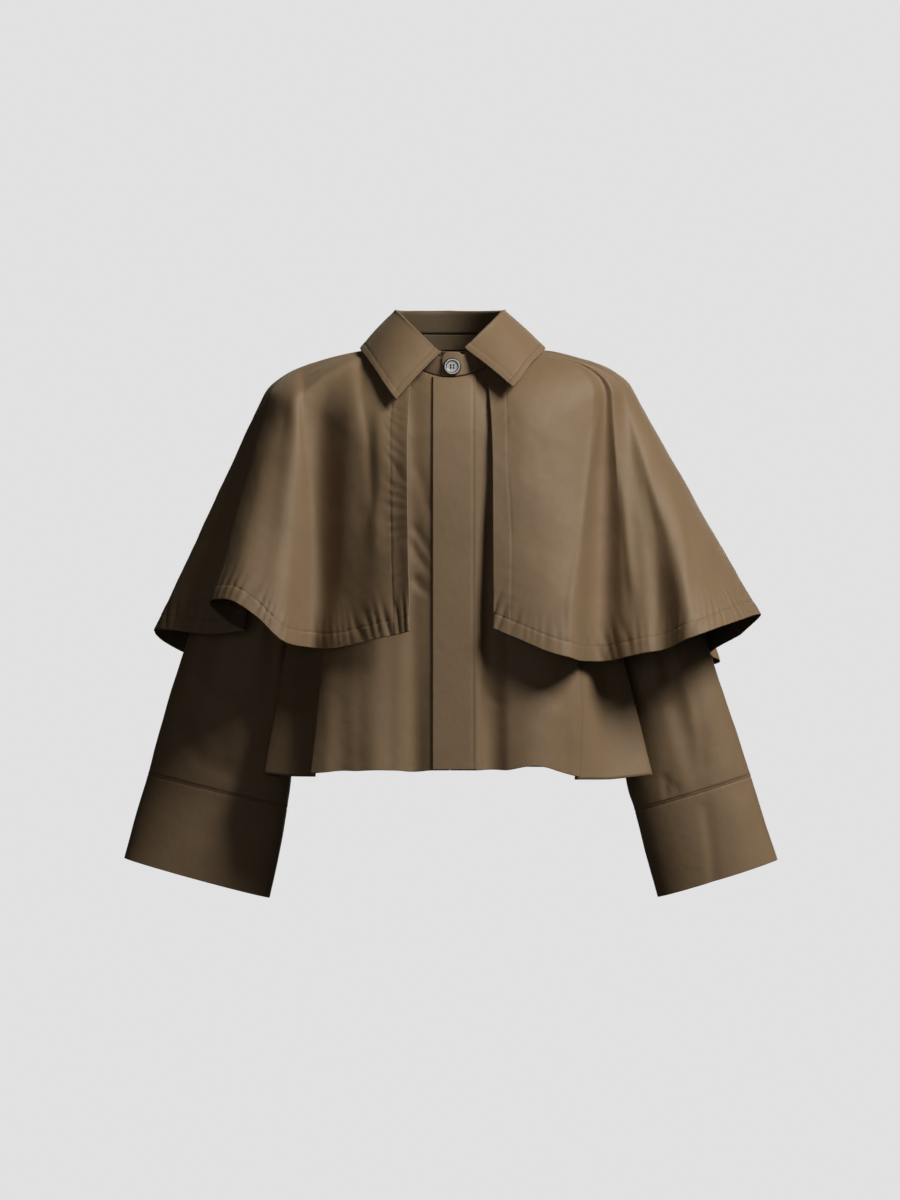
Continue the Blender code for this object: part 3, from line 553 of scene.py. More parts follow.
def armhole_loop(side):
    """Points round the armhole: from the shoulder end down the front, under the arm and up the back."""
    levels = spread(0.0, 1.0, 6) + spread(1.0, float(ARMHOLE_SECTIONS), 8)[1:]
    front = [front_point(side, level, 1.0) for level in levels]
    arc = [underarm_point(side, share) for share in spread(0.0, 1.0, 6)[1:]]
    back = [trunk_row(BACK_SECTIONS, level, 1.0, front=False) for level in reversed(levels)]
    for point in back:
        point.x *= side_sign(side)
    return front + arc, back


def at_share(points, share):
    """The point at a share of a polyline's length."""
    lengths = [0.0]
    for a, b in zip(points, points[1:]):
        lengths.append(lengths[-1] + (b - a).length)
    wanted = share * lengths[-1]
    for index in range(len(points) - 1):
        if wanted <= lengths[index + 1] or index == len(points) - 2:
            span = lengths[index + 1] - lengths[index]
            return mixed(points[index], points[index + 1], (wanted - lengths[index]) / span)


def ring_point(row, side, share, inset=0.0):
    """A point on a sleeve ring: share 0 outside, 0.25 in front, 0.5 inside, 0.75 behind."""
    outer_x, outer_z, inner_x, inner_z, centre_y, half_depth = row
    turn = 2 * math.pi * share
    across = math.cos(turn)
    centre_x = 0.5 * (outer_x + inner_x)
    centre_z = 0.5 * (outer_z + inner_z)
    x = centre_x + 0.5 * (outer_x - inner_x) * across
    z = centre_z + 0.5 * (outer_z - inner_z) * across
    y = centre_y - (half_depth - inset) * math.sin(turn)
    return Vector((side_sign(side) * x, y, z))


def sleeve_point(side, level, share):
    """A point of a sleeve: level 0 is the armhole, 1 the first ring of the table and so on."""
    rings = SLEEVE_RINGS[side]
    if level < 1.0:
        down_front, up_back = armhole_loops[side]
        start = at_share(down_front, share * 2) if share <= 0.5 else at_share(up_back, share * 2 - 1)
        start = start + Vector((side_sign(side), 0.0, -0.5)) * SLEEVE_SEAM_SHIFT
        return mixed(start, ring_point(rings[0], side, share), level)
    inset = 0.0
    for fold_side, centre, half_width, depth, first, last in SLEEVE_FOLDS:
        if fold_side == side and first < level <= last:
            middle = 0.5 * (first + last)
            inset += depth * soft_hump(level - middle, middle - first) * soft_hump(share - centre, half_width)
    return ring_point(row_between(rings, level - 1.0), side, share, inset)


def rib_point(rib, down):
    """A point on a cape rib: down 0 at the neck, 1 at the shoulder point, 2 at the hem."""
    shoulder, hem = Vector(rib[1:4]), Vector(rib[4:7])
    if down >= 1.0:
        return mixed(shoulder, hem, down - 1.0)
    corner = shoulder - (hem - shoulder).normalized() * rib[7]
    return bent(neck_point(rib[0], CAPE_OUT, CAPE_UP), corner, shoulder, down)


def fold_height(angle):
    """Height of the collar's fold line: nearly level behind, falling straight to the front."""
    away = from_front(angle)
    across = FOLD_HALF_WIDTH * math.sin(math.radians(min(away, 90.0)))
    share = (across - FOLD_FRONT_HALF_WIDTH) / (FOLD_HALF_WIDTH - FOLD_FRONT_HALF_WIDTH)
    height = mixed(FOLD_FRONT_Z, FOLD_SIDE_Z, min(max(share, 0.0), 1.0))
    return height + (FOLD_BACK_Z - FOLD_SIDE_Z) * max(away - 90.0, 0.0) / 90.0


def collar_seam_height(angle):
    """Height of the seam between the stand and the fall; the lapped end stands up to the fold line."""
    share = eased((from_front(angle) - 12.0) / 78.0)
    dip = SEAM_DIP * min(max((angle - 9.0) / (FALL_START - 10.0), 0.0), 1.0)
    return mixed(fold_height(angle) - dip - 0.0006, SEAM_BACK_Z, share)


def collar_point(angle, height, out):
    """A point of the collar, which leans in as it rises: the fold line is narrower than the neck."""
    bottom = neck_point(angle).z
    share = (height - bottom) / (FOLD_BACK_Z - bottom)
    base = neck_point(angle, out=out + (FOLD_HALF_WIDTH - NECK_HALF_WIDTH) * share)
    return Vector((base.x, base.y, height))


def fall_section(angle):
    """One section of the fall: up inside from the stand's seam, over the rolled fold, down to the edge."""
    position = np.interp(angle, [row[0] for row in FALL_EDGE], range(len(FALL_EDGE)))
    edge = Vector(row_between(FALL_EDGE, position)[1:])
    top = fold_height(angle) - FOLD_ROLL
    seam = collar_point(angle, collar_seam_height(angle) + 0.0012, -0.001)
    inner_top = collar_point(angle, top, -0.001)
    outer_top = collar_point(angle, top + 0.0017, 0.0044)
    points = [mixed(seam, inner_top, share) for share in (0.0, 0.12, 0.25, 0.4, 0.55, 0.7, 0.85)]
    middle = mixed(inner_top, outer_top, 0.5)
    half = (outer_top - inner_top) * 0.5
    for turn in range(0, 181, 20):
        roll = math.radians(turn)
        points.append(middle - half * math.cos(roll) + Vector((0.0, 0.0, 0.0026 * math.sin(roll))))
    away = Vector((edge.x - outer_top.x, edge.y - outer_top.y, 0.0)).normalized() + Vector((0.0, 0.0, 0.5))
    length = (edge - outer_top).length
    for place in close_places(length, 0.0028, (length - COLLAR_STITCH, length)):
        share = place / length
        if share > 0.02:
            points.append(mixed(outer_top, edge, share) + away * FALL_BULGE * math.sin(math.pi * share))
    return points


def share_at_width(side, level, width):
    """The share along a front's section at which it lies this far from the centre line."""
    low, high = 0.0, 1.0
    for _ in range(30):
        middle = 0.5 * (low + high)
        if abs(front_point(side, level, middle).x) < width:
            low = middle
        else:
            high = middle
    return 0.5 * (low + high)


def as_grid(rows):
    return np.array([[tuple(point) for point in row] for row in rows])


def travelled(grid, axis):
    """Distance walked along the rows (axis 1) or down the columns (axis 0), in metres."""
    steps = np.linalg.norm(np.diff(grid, axis=axis), axis=2)
    start = np.zeros_like(steps.take([0], axis=axis))
    return np.concatenate([start, np.cumsum(steps, axis=axis)], axis=axis)


def unit(steps):
    return steps / np.maximum(np.linalg.norm(steps, axis=-1, keepdims=True), 1e-12)


def outward(grid, closed):
    """The direction out of the cloth at each point."""
    across = np.roll(grid, -1, axis=1) - np.roll(grid, 1, axis=1) if closed else np.gradient(grid, axis=1)
    return unit(np.cross(np.gradient(grid, axis=0), across))


def eased(share):
    share = np.clip(share, 0.0, 1.0)
    return share * share * (3.0 - 2.0 * share)


def fold_relief(places, folds):
    """Relief of folds drawn as lines: points, half width, height (in is negative), lean, faded ends."""
    relief = np.zeros(places.shape[:2])
    for line, half_width, height, lean in folds:
        points = np.array(line)
        lengths = np.linalg.norm(np.diff(points, axis=0), axis=1)
        nearest = np.full(relief.shape, 9.0)
        side = np.zeros(relief.shape)
        along = np.zeros(relief.shape)
        walked = 0.0
        for start, end, length in zip(points, points[1:], lengths):
            step = end - start
            share = np.clip(((places - start) @ step) / length ** 2, 0.0, 1.0)
            offset = places - (start + share[..., None] * step)
            distance = np.linalg.norm(offset, axis=2)
            nearer = distance < nearest
            nearest = np.where(nearer, distance, nearest)
            side = np.where(nearer, np.sign(step[0] * offset[..., 1] - step[1] * offset[..., 0]), side)
            along = np.where(nearer, (walked + share * length) / lengths.sum(), along)
            walked += length
        width = half_width * (1.0 + lean * side)
        ends = eased(np.minimum(along, 1.0 - along) * 4.0)
        relief += height * ends * np.exp(-(nearest / width) ** 2)
    return relief


def seam_relief(away, along, seam):
    """Relief beside a stitched seam: the hem or band stands proud, the thread sinks in, the cloth puckers."""
    distance, pucker, spacing, reach, seed = seam
    past = away - distance
    band = BAND_HEIGHT * eased(0.5 - past / 0.0016)
    thread = -THREAD_SINK * np.exp(-(past / 0.0013) ** 2)
    drift = 0.32 * np.sin(along * 61.0 + seed) + 0.22 * np.sin(along * 137.0 + 2.0 * seed)
    slant = PUCKER_SLANT * np.sin(along * 19.0 + 1.7 * seed)
    wave = np.abs(np.sin(math.pi * (along / spacing + drift + slant * past)))
    uneven = 0.35 + 0.65 * (0.5 + 0.5 * np.sin(along * 31.0 + 3.0 * seed)) ** 1.5
    fade = np.exp(-(past / np.where(past > 0, reach, 0.022)) ** 2)
    return band + thread + pucker * uneven * fade * (wave ** 0.8 - 0.62)


def crumple(grid, size, height, seed):
    """Small uneven waves, the same on both sides of a seam."""
    shift = Vector((seed, 2.0 * seed, 3.0 * seed))
    values = [noise.noise(Vector(point) / size + shift) for point in grid.reshape(-1, 3)]
    return height * np.array(values).reshape(grid.shape[:2])


def edge_distances(grid):
    """For each of the four edges: how far away each point is, and how far along the edge."""
    across, down = travelled(grid, 1), travelled(grid, 0)
    flat = 0.0 * down
    return {
        "top": (down, across[:1] + flat),
        "bottom": (down[-1:] - down, across[-1:] + flat),
        "left": (across, down[:, :1] + flat),
        "right": (across[:, -1:] - across, down[:, -1:] + flat),
    }


def dressed(grid, closed=False, front=(), back=(), seams=(), sewn=(), waves=0.0007):
    """The grid with its folds, puckers and small waves, quiet at the edges that are sewn to others."""
    normal = outward(grid, closed)
    edges = edge_distances(grid)
    relief = crumple(grid, 0.045, waves, 1.3) + crumple(grid, 0.014, waves * 0.28, 4.1)
    for folds, facing in ((front, -3.0), (back, 3.0)):
        relief += fold_relief(grid[..., [0, 2]], folds) * np.clip(facing * normal[..., 1], 0.0, 1.0)
    for edge in sewn:
        relief *= eased(edges[edge][0] / QUIET_EDGE)
    for edge, seam in seams:
        relief += seam_relief(*edges[edge], seam)
    return grid + normal * relief[..., None]


def placed(name, data):
    """A new object in the scene."""
    made = bpy.data.objects.new(name, data)
    bpy.context.scene.collection.objects.link(made)
    return made


def finished_mesh(obj):
    """The object's mesh with its modifiers."""
    bpy.context.view_layer.update()
    return bpy.data.meshes.new_from_object(obj.evaluated_get(bpy.context.evaluated_depsgraph_get()))


def ring_closed(grid):
    return np.concatenate([grid, grid[:, :1]], axis=1)


def cloth(name, grid, thickness, closed=False, painted_shade_rows=0):
    """One piece of cloth on the grid, with its own map in metres; its inner side and the first rows given,
    which face inwards, take a darker colour as painted shade.
    """
    index = np.arange(grid[..., 0].size).reshape(grid.shape[:2])
    mapped = grid
    if closed:
        index, mapped = ring_closed(index), ring_closed(grid)
    places = np.stack([travelled(mapped, 1), -travelled(mapped, 0)], axis=2)
    first, then = slice(0, -1), slice(1, None)
    corners = [(first, first), (then, first), (then, then), (first, then)]
    faces = np.stack([index[corner] for corner in corners], axis=2).reshape(-1, 4)
    mesh = bpy.data.meshes.new(name)
    mesh.from_pydata(grid.reshape(-1, 3).tolist(), [], faces.tolist())
    mesh.shade_smooth()
    mesh.materials.append(cloth_finish)
    mesh.materials.append(inside_painted_shade_finish)
    # The first rows take the darker finish: painted shade
    if painted_shade_rows:
        turned = np.arange(len(faces)) < painted_shade_rows * (index.shape[1] - 1)
        mesh.polygons.foreach_set("material_index", turned.astype(int))
    corner_places = np.stack([places[corner] for corner in corners], axis=2).reshape(-1)
    mesh.uv_layers.new(name="Cloth").uv.foreach_set("vector", corner_places)
    piece = placed(name, mesh)
    thick = piece.modifiers.new("Cloth thickness", "SOLIDIFY")
    thick.thickness = thickness
    thick.offset = -1.0
    thick.use_even_offset = False
    # The inner side of every piece takes the darker finish: painted shade
    thick.material_offset = 1
    return piece


def stitch_line(grid, edge, distance, closed=False):
    """Places of the thread at a distance from an edge of the piece."""
    raised = grid + outward(grid, closed) * THREAD_LIFT
    away = edge_distances(grid)[edge][0]
    if edge in ("top", "bottom"):
        raised, away = raised.transpose(1, 0, 2), away.T
    places = []
    for gone, spots in zip(away, raised):
        if gone[0] > gone[-1]:
            gone, spots = gone[::-1], spots[::-1]
        if gone[-1] > distance:
            places.append([np.interp(distance, gone, spots[:, k]) for k in range(3)])
    return places


def close_places(length, step, fine):
    """Places from 0 to length, at even steps and closer together round the fine ones."""
    wanted = set()
    for spot in fine:
        for gap in (0.0, 0.0009, 0.0018, 0.0030):
            wanted.update((spot - gap, spot + gap))
    for place in np.linspace(0.0, length, max(int(length / step), 2) + 1):
        if all(abs(place - spot) > 0.0042 for spot in fine) or place in (0.0, length):
            wanted.add(float(place))
    return sorted(place for place in wanted if 0.0 <= place <= length + 1e-9)


def levels_down(point_at, last, step, fine_from_end):
    """Levels of a panel's rows, at even steps along its middle and closer together near the hem's seam."""
    samples = [last * i / 300 for i in range(301)]
    points = as_grid([[point_at(level) for level in samples]])
    walked = travelled(points, 1)[0]
    places = close_places(walked[-1], step, [walked[-1] - gap for gap in fine_from_end])
    return [float(np.interp(place, walked, samples)) for place in places]


def front_grid(side):
    levels = levels_down(lambda level: front_point(side, level, 0.4), 7.0, 0.0036, (0.0, 0.020))
    rows = [[front_point(side, level, share) for share in spread(0.0, 1.0, 56)] for level in levels]
    for row in rows:
        row[0].x = side_sign(side) * SEAM_GAP
    return as_grid(rows)[:, ::int(side_sign(side))]


def back_grid():
    levels = levels_down(lambda level: back_point(level, 0.4), 6.0, 0.0042, (0.0, 0.020))
    grid = as_grid([[back_point(level, share) for share in spread(-1.0, 1.0, 104)] for level in levels])
    below = np.array(levels) >= ARMHOLE_SECTIONS
    for column in (0, -1):
        grid[below, column, 1] += SEAM_GAP
    return grid


def side_panel_grid(side):
    """The side panel, its lines from front to back joined by a half rounded, half straight run."""
    rows = []
    for row in side_panel_rows(side, 84):
        line = []
        for place in spread(0.0, len(row) - 1.0, 40):
            start = min(int(place), len(row) - 2)
            straight = mixed(row[start], row[start + 1], place - start)
            line.append(mixed(straight, Vector(row_between([tuple(point) for point in row], place)), 0.45))
        rows.append(line[::-1] if side == "right" else line)
    return as_grid(rows)


def sleeve_grid(side):
    """The sleeve, its lower end tucked inside the cuff."""
    rows = [[sleeve_point(side, level, share) for share in ROUND] for level in spread(0.0, 8.0, 118)]
    grid = as_grid(rows)[:, ::int(-side_sign(side))]
    down = unit(grid[-1] - grid[-2])
    inwards = -outward(grid, True)[-1]
    tucked = [grid[-1] + down * gone + inwards * inset for gone, inset in
              ((0.0004, 0.0012), (0.0010, 0.0024), (0.0060, 0.0026))]
    return np.concatenate([grid, np.array(tucked)])


def cuff_grid(side):
    rings = CUFF_RINGS[side]
    top, bottom = (ring_point(ring, side, 0.0) + ring_point(ring, side, 0.5)
                   for ring in (rings[0], rings[-1]))
    down = (bottom - top).normalized()
    rows = []
    for place in close_places(CUFF_LENGTH, 0.0035, (0.0, 0.002, CUFF_LENGTH)):
        level = 2.0 * place / CUFF_LENGTH
        start = down * (SEAM_GAP * 0.5 * (1.0 - level / 2.0))
        rows.append([ring_point(row_between(rings, level), side, share) + start for share in ROUND])
    return as_grid(rows)[:, ::int(-side_sign(side))]


def cape_grid(ribs, column_step, seam_gap, fine_edges):
    """A cape piece: its lower rows keep their distance from the hem, where the seam runs."""
    samples = spread(0.0, len(ribs) - 1.0, 600)
    walked = travelled(as_grid([[rib_point(row_between(ribs, place), 2.0) for place in samples]]), 1)[0]
    fine = [0.0 if edge == "left" else walked[-1] for edge in fine_edges]
    places = set(close_places(walked[-1], column_step, fine))
    for spot in fine:
        places.update(abs(spot - gap) for gap in np.arange(0.004, 0.030, 0.0018))
    near_hem = close_places(0.030, 0.0034, (0.0, CAPE_HEM_DEPTH))[::-1]
    columns = []
    for place in sorted(places):
        rib = row_between(ribs, float(np.interp(place, walked, samples)))
        fall = (rib_point(rib, 2.0) - rib_point(rib, 1.0)).length
        last = 2.0 - 0.0335 / fall
        levels = [last * (i / 96) ** 1.04 for i in range(97)] + [2.0 - gone / fall for gone in near_hem]
        columns.append([rib_point(rib, level) for level in levels])
    grid = as_grid(columns).transpose(1, 0, 2)
    first, last = unit(grid[:, 1] - grid[:, 0]), unit(grid[:, -2] - grid[:, -1])
    grid[:, 0] += first * seam_gap
    grid[:, -1] += last * seam_gap
    return grid


def stand_grid():
    """The stand with its lapped end, carried down a little so that no light shows at the neck seam."""
    angles = [STAND_START, STAND_START + 0.5, STAND_START + 1.5, *np.linspace(-4.5, 369.0, 190),
              370.5, STAND_END - 0.5, STAND_END]
    middle = 0.5 * (STAND_START + STAND_END)
    rows = []
    for level in (0.0, 0.04, *spread(0.1, 0.9, 8), 0.96, 1.0):
        row = []
        for angle in angles:
            from_middle = (angle - middle) / (middle - STAND_START)
            lap = -STAND_LAP * from_middle * abs(from_middle) ** 5
            rounding = STAND_END_ROUNDING * max(1.0 - (angle - STAND_START) / 5.0, 0.0) ** 2
            height = mixed(collar_seam_height(angle), neck_point(angle).z, level)
            row.append(collar_point(angle, height - rounding * (1.0 - level) ** 3, 0.001 + lap))
        rows.append(row)
    grid = as_grid(rows)
    grid[-1] += unit(grid[-1] - grid[-2]) * 0.0005
    return grid


def fall_grid():
    """The fall, each section with the same number of points."""
    gaps = (0.0, 0.5, 1.2, 2.2, 3.2, 4.0, 4.6, 5.2, 6.2)
    angles = [FALL_START + gap for gap in gaps] + list(np.linspace(FALL_START + 8.0, FALL_END - 8.0, 176))
    angles += [FALL_END - gap for gap in gaps[::-1]]
    sections = [as_grid([fall_section(angle)])[0] for angle in angles]
    count = min(len(section) for section in sections)
    evened = []
    for section in sections:
        places = np.linspace(0, len(section) - 1, count)
        evened.append([np.interp(places, range(len(section)), section[:, k]) for k in range(3)])
    return np.array(evened).transpose(2, 0, 1)


def placket_grid():
    """The placket over both fronts, free at one edge and stitched down at the other."""
    levels = levels_down(lambda level: front_point("left", level, 0.1), 7.0, 0.0038, (0.0, 0.020))
    rows = []
    for level in [PLACKET_TOP_LEVEL] + [level for level in levels if level > PLACKET_TOP_LEVEL + 0.01]:
        row = []
        for width in PLACKET_COLUMNS:
            side = "right" if width < 0 else "left"
            surface = front_point(side, level, share_at_width(side, level, abs(width)))
            merged = eased((width - 0.024) / 0.007)
            row.append(surface + Vector((0.0, -DOUBLE_CLOTH - 0.0006 + 0.0007 * merged, 0.0010)))
        rows.append(row)
    return as_grid(rows)


def node_tree(name, kind, inputs, outputs):
    tree = bpy.data.node_groups.new(name, kind)
    for socket, socket_type, value in inputs:
        made = tree.interface.new_socket(socket, in_out="INPUT", socket_type=socket_type)
        if value is not None:
            made.default_value = value
    for socket, socket_type in outputs:
        tree.interface.new_socket(socket, in_out="OUTPUT", socket_type=socket_type)
    return tree, tree.nodes.new("NodeGroupInput"), tree.nodes.new("NodeGroupOutput")


def make_node(tree, kind, links=(), **settings):
    """A new node with its settings, its inputs linked to sockets or set to values; gives its outputs."""
    node = tree.nodes.new(kind)
    for setting, value in settings.items():
        setattr(node, setting, value)
    for socket, value in links:
        if isinstance(value, bpy.types.NodeSocket):
            tree.links.new(value, node.inputs[socket])
        else:
            node.inputs[socket].default_value = value
    return node.outputs


def weave_group():
    """Gabardine: steep twill lines, uneven yarns and faint cloudy shading, on a map in metres."""
    tree, given, out = node_tree(
        "Gabardine weave", "ShaderNodeTree",
        [("Cloth map", "NodeSocketVector", None), ("Lines per metre", "NodeSocketFloat", 1500.0),
         ("Yarn unevenness", "NodeSocketFloat", 0.5), ("Cloudiness", "NodeSocketFloat", 0.5)],
        [("Height", "NodeSocketFloat"), ("Shade", "NodeSocketFloat")])
    cloth_map, line_count, unevenness, cloudiness = given.outputs[:4]

    def worked(operation, *values):
        return make_node(tree, "ShaderNodeMath", enumerate(values), operation=operation)[0]

    right, up = make_node(tree, "ShaderNodeSeparateXYZ", [(0, cloth_map)])[:2]
    across = worked("ADD", worked("MULTIPLY", right, 2.0), up)
    ribs = worked("SINE", worked("MULTIPLY", across, worked("MULTIPLY", line_count, 2.8)))
    stretched = make_node(tree, "ShaderNodeMapping",
                          [("Vector", cloth_map), ("Scale", (900.0, 60.0, 1.0))])[0]
    rough = worked("MULTIPLY", noise_texture(tree, stretched, 1.0, 2.0), unevenness)
    cloud = noise_texture(tree, cloth_map, 16.0, 4.0)
    tree.links.new(worked("MULTIPLY_ADD", ribs, 0.35, rough), out.inputs[0])
    tree.links.new(worked("ADD", worked("MULTIPLY", cloud, cloudiness), rough), out.inputs[1])
    return tree


def finish(name, **values):
    """A new material, its tree and its shader's inputs with these values set."""
    material = bpy.data.materials.new(name)
    material.use_nodes = True
    inputs = material.node_tree.nodes["Principled BSDF"].inputs
    for socket, value in values.items():
        inputs[socket.replace("_", " ")].default_value = value
    return material, material.node_tree, inputs


def coloured(tree, shader, share, first, second):
    """The shader's colour, from the first to the second by share."""
    mix = make_node(tree, "ShaderNodeMix", [("Factor", share), ("A", (*first, 1.0)), ("B", (*second, 1.0))],
                    data_type="RGBA")
    tree.links.new(mix["Result"], shader["Base Color"])


def bump(tree, height, strength, distance, *below):
    links = [("Height", height), ("Strength", strength), ("Distance", distance)]
    return make_node(tree, "ShaderNodeBump", links + [("Normal", normal) for normal in below])[0]


def noise_texture(tree, places, scale, detail):
    links = [("Vector", places), ("Scale", scale), ("Detail", detail)]
    return make_node(tree, "ShaderNodeTexNoise", links)[0]


def gabardine(name, dark, light, weave):
    """Tightly woven cotton with a slight sheen."""
    material, tree, shader = finish(name, Sheen_Weight=0.18, Sheen_Roughness=0.45,
                                    Sheen_Tint=(0.9, 0.75, 0.55, 1.0), Specular_IOR_Level=0.35)
    places = make_node(tree, "ShaderNodeUVMap", uv_map="Cloth")[0]
    pattern = tree.nodes.new("ShaderNodeGroup")
    pattern.node_tree = weave
    tree.links.new(places, pattern.inputs["Cloth map"])
    pattern.inputs["Yarn unevenness"].default_value = 0.45
    pattern.inputs["Cloudiness"].default_value = 0.55
    height, shade = pattern.outputs[:2]
    coloured(tree, shader, shade, dark, light)
    gloss = make_node(tree, "ShaderNodeMapRange", [("Value", shade), ("To Min", 0.66), ("To Max", 0.52)])[0]
    tree.links.new(gloss, shader["Roughness"])
    body = make_node(tree, "ShaderNodeTexCoord")["Object"]
    soft = bump(tree, noise_texture(tree, body, 85.0, 3.0), 0.30, 0.0012)
    tree.links.new(bump(tree, height, 0.35, 0.0002, soft), shader["Normal"])
    return material


def plain_grain(name, colour, other, roughness, scale, height):
    """A finish whose colour and surface vary a little, on Object coordinates."""
    material, tree, shader = finish(name, Roughness=roughness)
    body = make_node(tree, "ShaderNodeTexCoord")["Object"]
    grain = noise_texture(tree, body, scale, 3.0)
    coloured(tree, shader, grain, colour, other)
    tree.links.new(bump(tree, grain, 0.3, height), shader["Normal"])
    return material


def stitch_tree():
    """Short sunk stitches at even steps along each line of thread."""
    tree, given, out = node_tree(
        "Row of stitches", "GeometryNodeTree",
        [("Geometry", "NodeSocketGeometry", None), ("Stitch spacing", "NodeSocketFloat", 0.0031),
         ("Stitch length", "NodeSocketFloat", 0.0024), ("Thread thickness", "NodeSocketFloat", 0.00042),
         ("Thread", "NodeSocketMaterial", None)],
        [("Geometry", "NodeSocketGeometry")])
    lines, spacing, long, thick, finish_socket = given.outputs[:5]

    def made(kind, links=(), **settings):
        return make_node(tree, kind, links, **settings)[0]

    path = made("GeometryNodeMeshToCurve", [(0, lines)])
    steps = made("GeometryNodeResampleCurve", [("Curve", path), ("Length", spacing)], mode="LENGTH")
    ball = made("GeometryNodeMeshUVSphere", [("Segments", 6), ("Rings", 4), ("Radius", 0.5)])
    size = made("ShaderNodeCombineXYZ", [(0, long), (1, thick), (2, thick)])
    stitch = made("GeometryNodeTransform", [("Geometry", ball), ("Scale", size)])
    turn = made("FunctionNodeAlignRotationToVector", [("Vector", made("GeometryNodeInputTangent"))], axis="X")
    sewn = made("GeometryNodeInstanceOnPoints", [("Points", steps), ("Instance", stitch), ("Rotation", turn)])
    real = made("GeometryNodeRealizeInstances", [(0, sewn)])
    thread = made("GeometryNodeSetMaterial", [("Geometry", real), ("Material", finish_socket)])
    tree.links.new(thread, out.inputs[0])
    return tree


def stitched(name, lines, tree, material):
    """The thread along the lines, as one plain mesh."""
    points = []
    edges = []
    for line in lines:
        first = len(points)
        points += [tuple(place) for place in line]
        edges += [(first + i, first + i + 1) for i in range(len(line) - 1)]
    guide = bpy.data.meshes.new(name + "_guide")
    guide.from_pydata(points, edges, [])
    maker = placed(name + "_guide", guide)
    sewing = maker.modifiers.new("Stitches", "NODES")
    sewing.node_group = tree
    sockets = {item.name: item.identifier for item in tree.interface.items_tree if item.in_out == "INPUT"}
    sewing[sockets["Thread"]] = material
    mesh = finished_mesh(maker)
    mesh.name = name
    mesh.shade_smooth()
    bpy.data.objects.remove(maker, do_unlink=True)
    return placed(name, mesh)


def turned_button(body_material, painted_shade_material):
    """A turned four-hole button; the slopes of its rim, its outer edge and the walls of its holes are painted
    dark as painted shade.
    """
    mesh = bpy.data.meshes.new("button_turned")
    points = [(share * BUTTON_RADIUS, 0.0, BUTTON_THICKNESS - depth) for share, depth in BUTTON_PROFILE]
    mesh.from_pydata(points, [(i, i + 1) for i in range(len(points) - 1)], [])
    disc = placed("button_turned", mesh)
    turned = disc.modifiers.new("Turned", "SCREW")
    turned.steps = 96
    turned.use_merge_vertices = True
    turned.merge_threshold = 0.00002
    turned.use_smooth_shade = True
    drills = []
    for column, level in ((-1, -1), (-1, 1), (1, -1), (1, 1)):
        bpy.ops.mesh.primitive_cylinder_add(vertices=28, radius=BUTTON_HOLE_RADIUS * 1.2, depth=0.02)
        drill = bpy.context.object
        drill.location = (column * BUTTON_HOLE_OFFSET, level * BUTTON_HOLE_OFFSET, 0.0)
        hole = disc.modifiers.new("Hole", "BOOLEAN")
        hole.operation = "DIFFERENCE"
        hole.object = drill
        drills.append(drill)
    made = finished_mesh(disc)
    for tool in drills + [disc]:
        bpy.data.objects.remove(tool, do_unlink=True)
    made.materials.clear()
    made.materials.append(body_material)
    made.materials.append(painted_shade_material)
    for polygon in made.polygons:
        out = math.hypot(polygon.center.x, polygon.center.y) / BUTTON_RADIUS
        in_hole = out < 0.5 and abs(polygon.normal.z) < 0.5
        # Painted shade: the rim's slopes, the outer edge and the hole walls take the near-black finish
        polygon.material_index = 1 if out > 0.85 or 0.60 < out < 0.74 or in_hole else 0
    made.set_sharp_from_angle(angle=math.radians(40.0))
    return made


def button_strands(material):
    """The thread through the button's holes, three strands on each side."""
    strands = bmesh.new()
    for middle in [column * BUTTON_HOLE_OFFSET + shift
                   for column in (-1, 1) for shift in (-STRAND_SPREAD, 0.0, STRAND_SPREAD)]:
        rings = []
        for along, lift in STRAND_BEND:
            height = BUTTON_THICKNESS - 0.0013 + lift
            rolls = [math.radians(45.0 * turn) for turn in range(8)]
            rings.append([
                strands.verts.new((middle + STRAND_RADIUS * math.cos(roll), along * BUTTON_HOLE_OFFSET,
                                   height + STRAND_RADIUS * math.sin(roll))) for roll in rolls
            ])
        for a, b in zip(rings, rings[1:]):
            for k in range(8):
                strands.faces.new((a[k], a[(k + 1) % 8], b[(k + 1) % 8], b[k]))
        strands.faces.new(rings[0][::-1])
        strands.faces.new(rings[-1])
    bmesh.ops.recalc_face_normals(strands, faces=strands.faces)
    mesh = bpy.data.meshes.new("button_thread")
    strands.to_mesh(mesh)
    strands.free()
    mesh.shade_smooth()
    mesh.materials.append(material)
    return mesh


def soft_light(name, place, aim, width, height, power, colour):
    data = bpy.data.lights.new(name, "AREA")
    data.shape = "RECTANGLE"
    data.size = width
    data.size_y = height
    data.energy = power
    data.color = colour
    light = placed(name, data)
    light.location = place
    light.rotation_euler = (Vector(aim) - Vector(place)).to_track_quat("-Z", "Y").to_euler()


# Camera, backdrop and lights
camera_data = bpy.data.cameras.new("camera")
camera_data.lens = CAMERA_LENS
camera_data.sensor_width = 36.0
camera = placed("camera", camera_data)
camera.location = CAMERA_PLACE
camera.rotation_euler = (math.radians(90.0), 0.0, 0.0)
bpy.context.scene.camera = camera
bpy.context.scene.view_settings.view_transform = "Standard"

world = bpy.data.worlds.new("studio")
bpy.context.scene.world = world
world.use_nodes = True
sky = world.node_tree.nodes["Background"].inputs
seen = make_node(world.node_tree, "ShaderNodeLightPath")["Is Camera Ray"]
brightness = make_node(world.node_tree, "ShaderNodeMapRange",
                       [("Value", seen), ("To Min", AMBIENT), ("To Max", BACKDROP)])
world.node_tree.links.new(brightness[0], sky["Strength"])
sky["Color"].default_value = (1.0, 1.0, 1.0, 1.0)

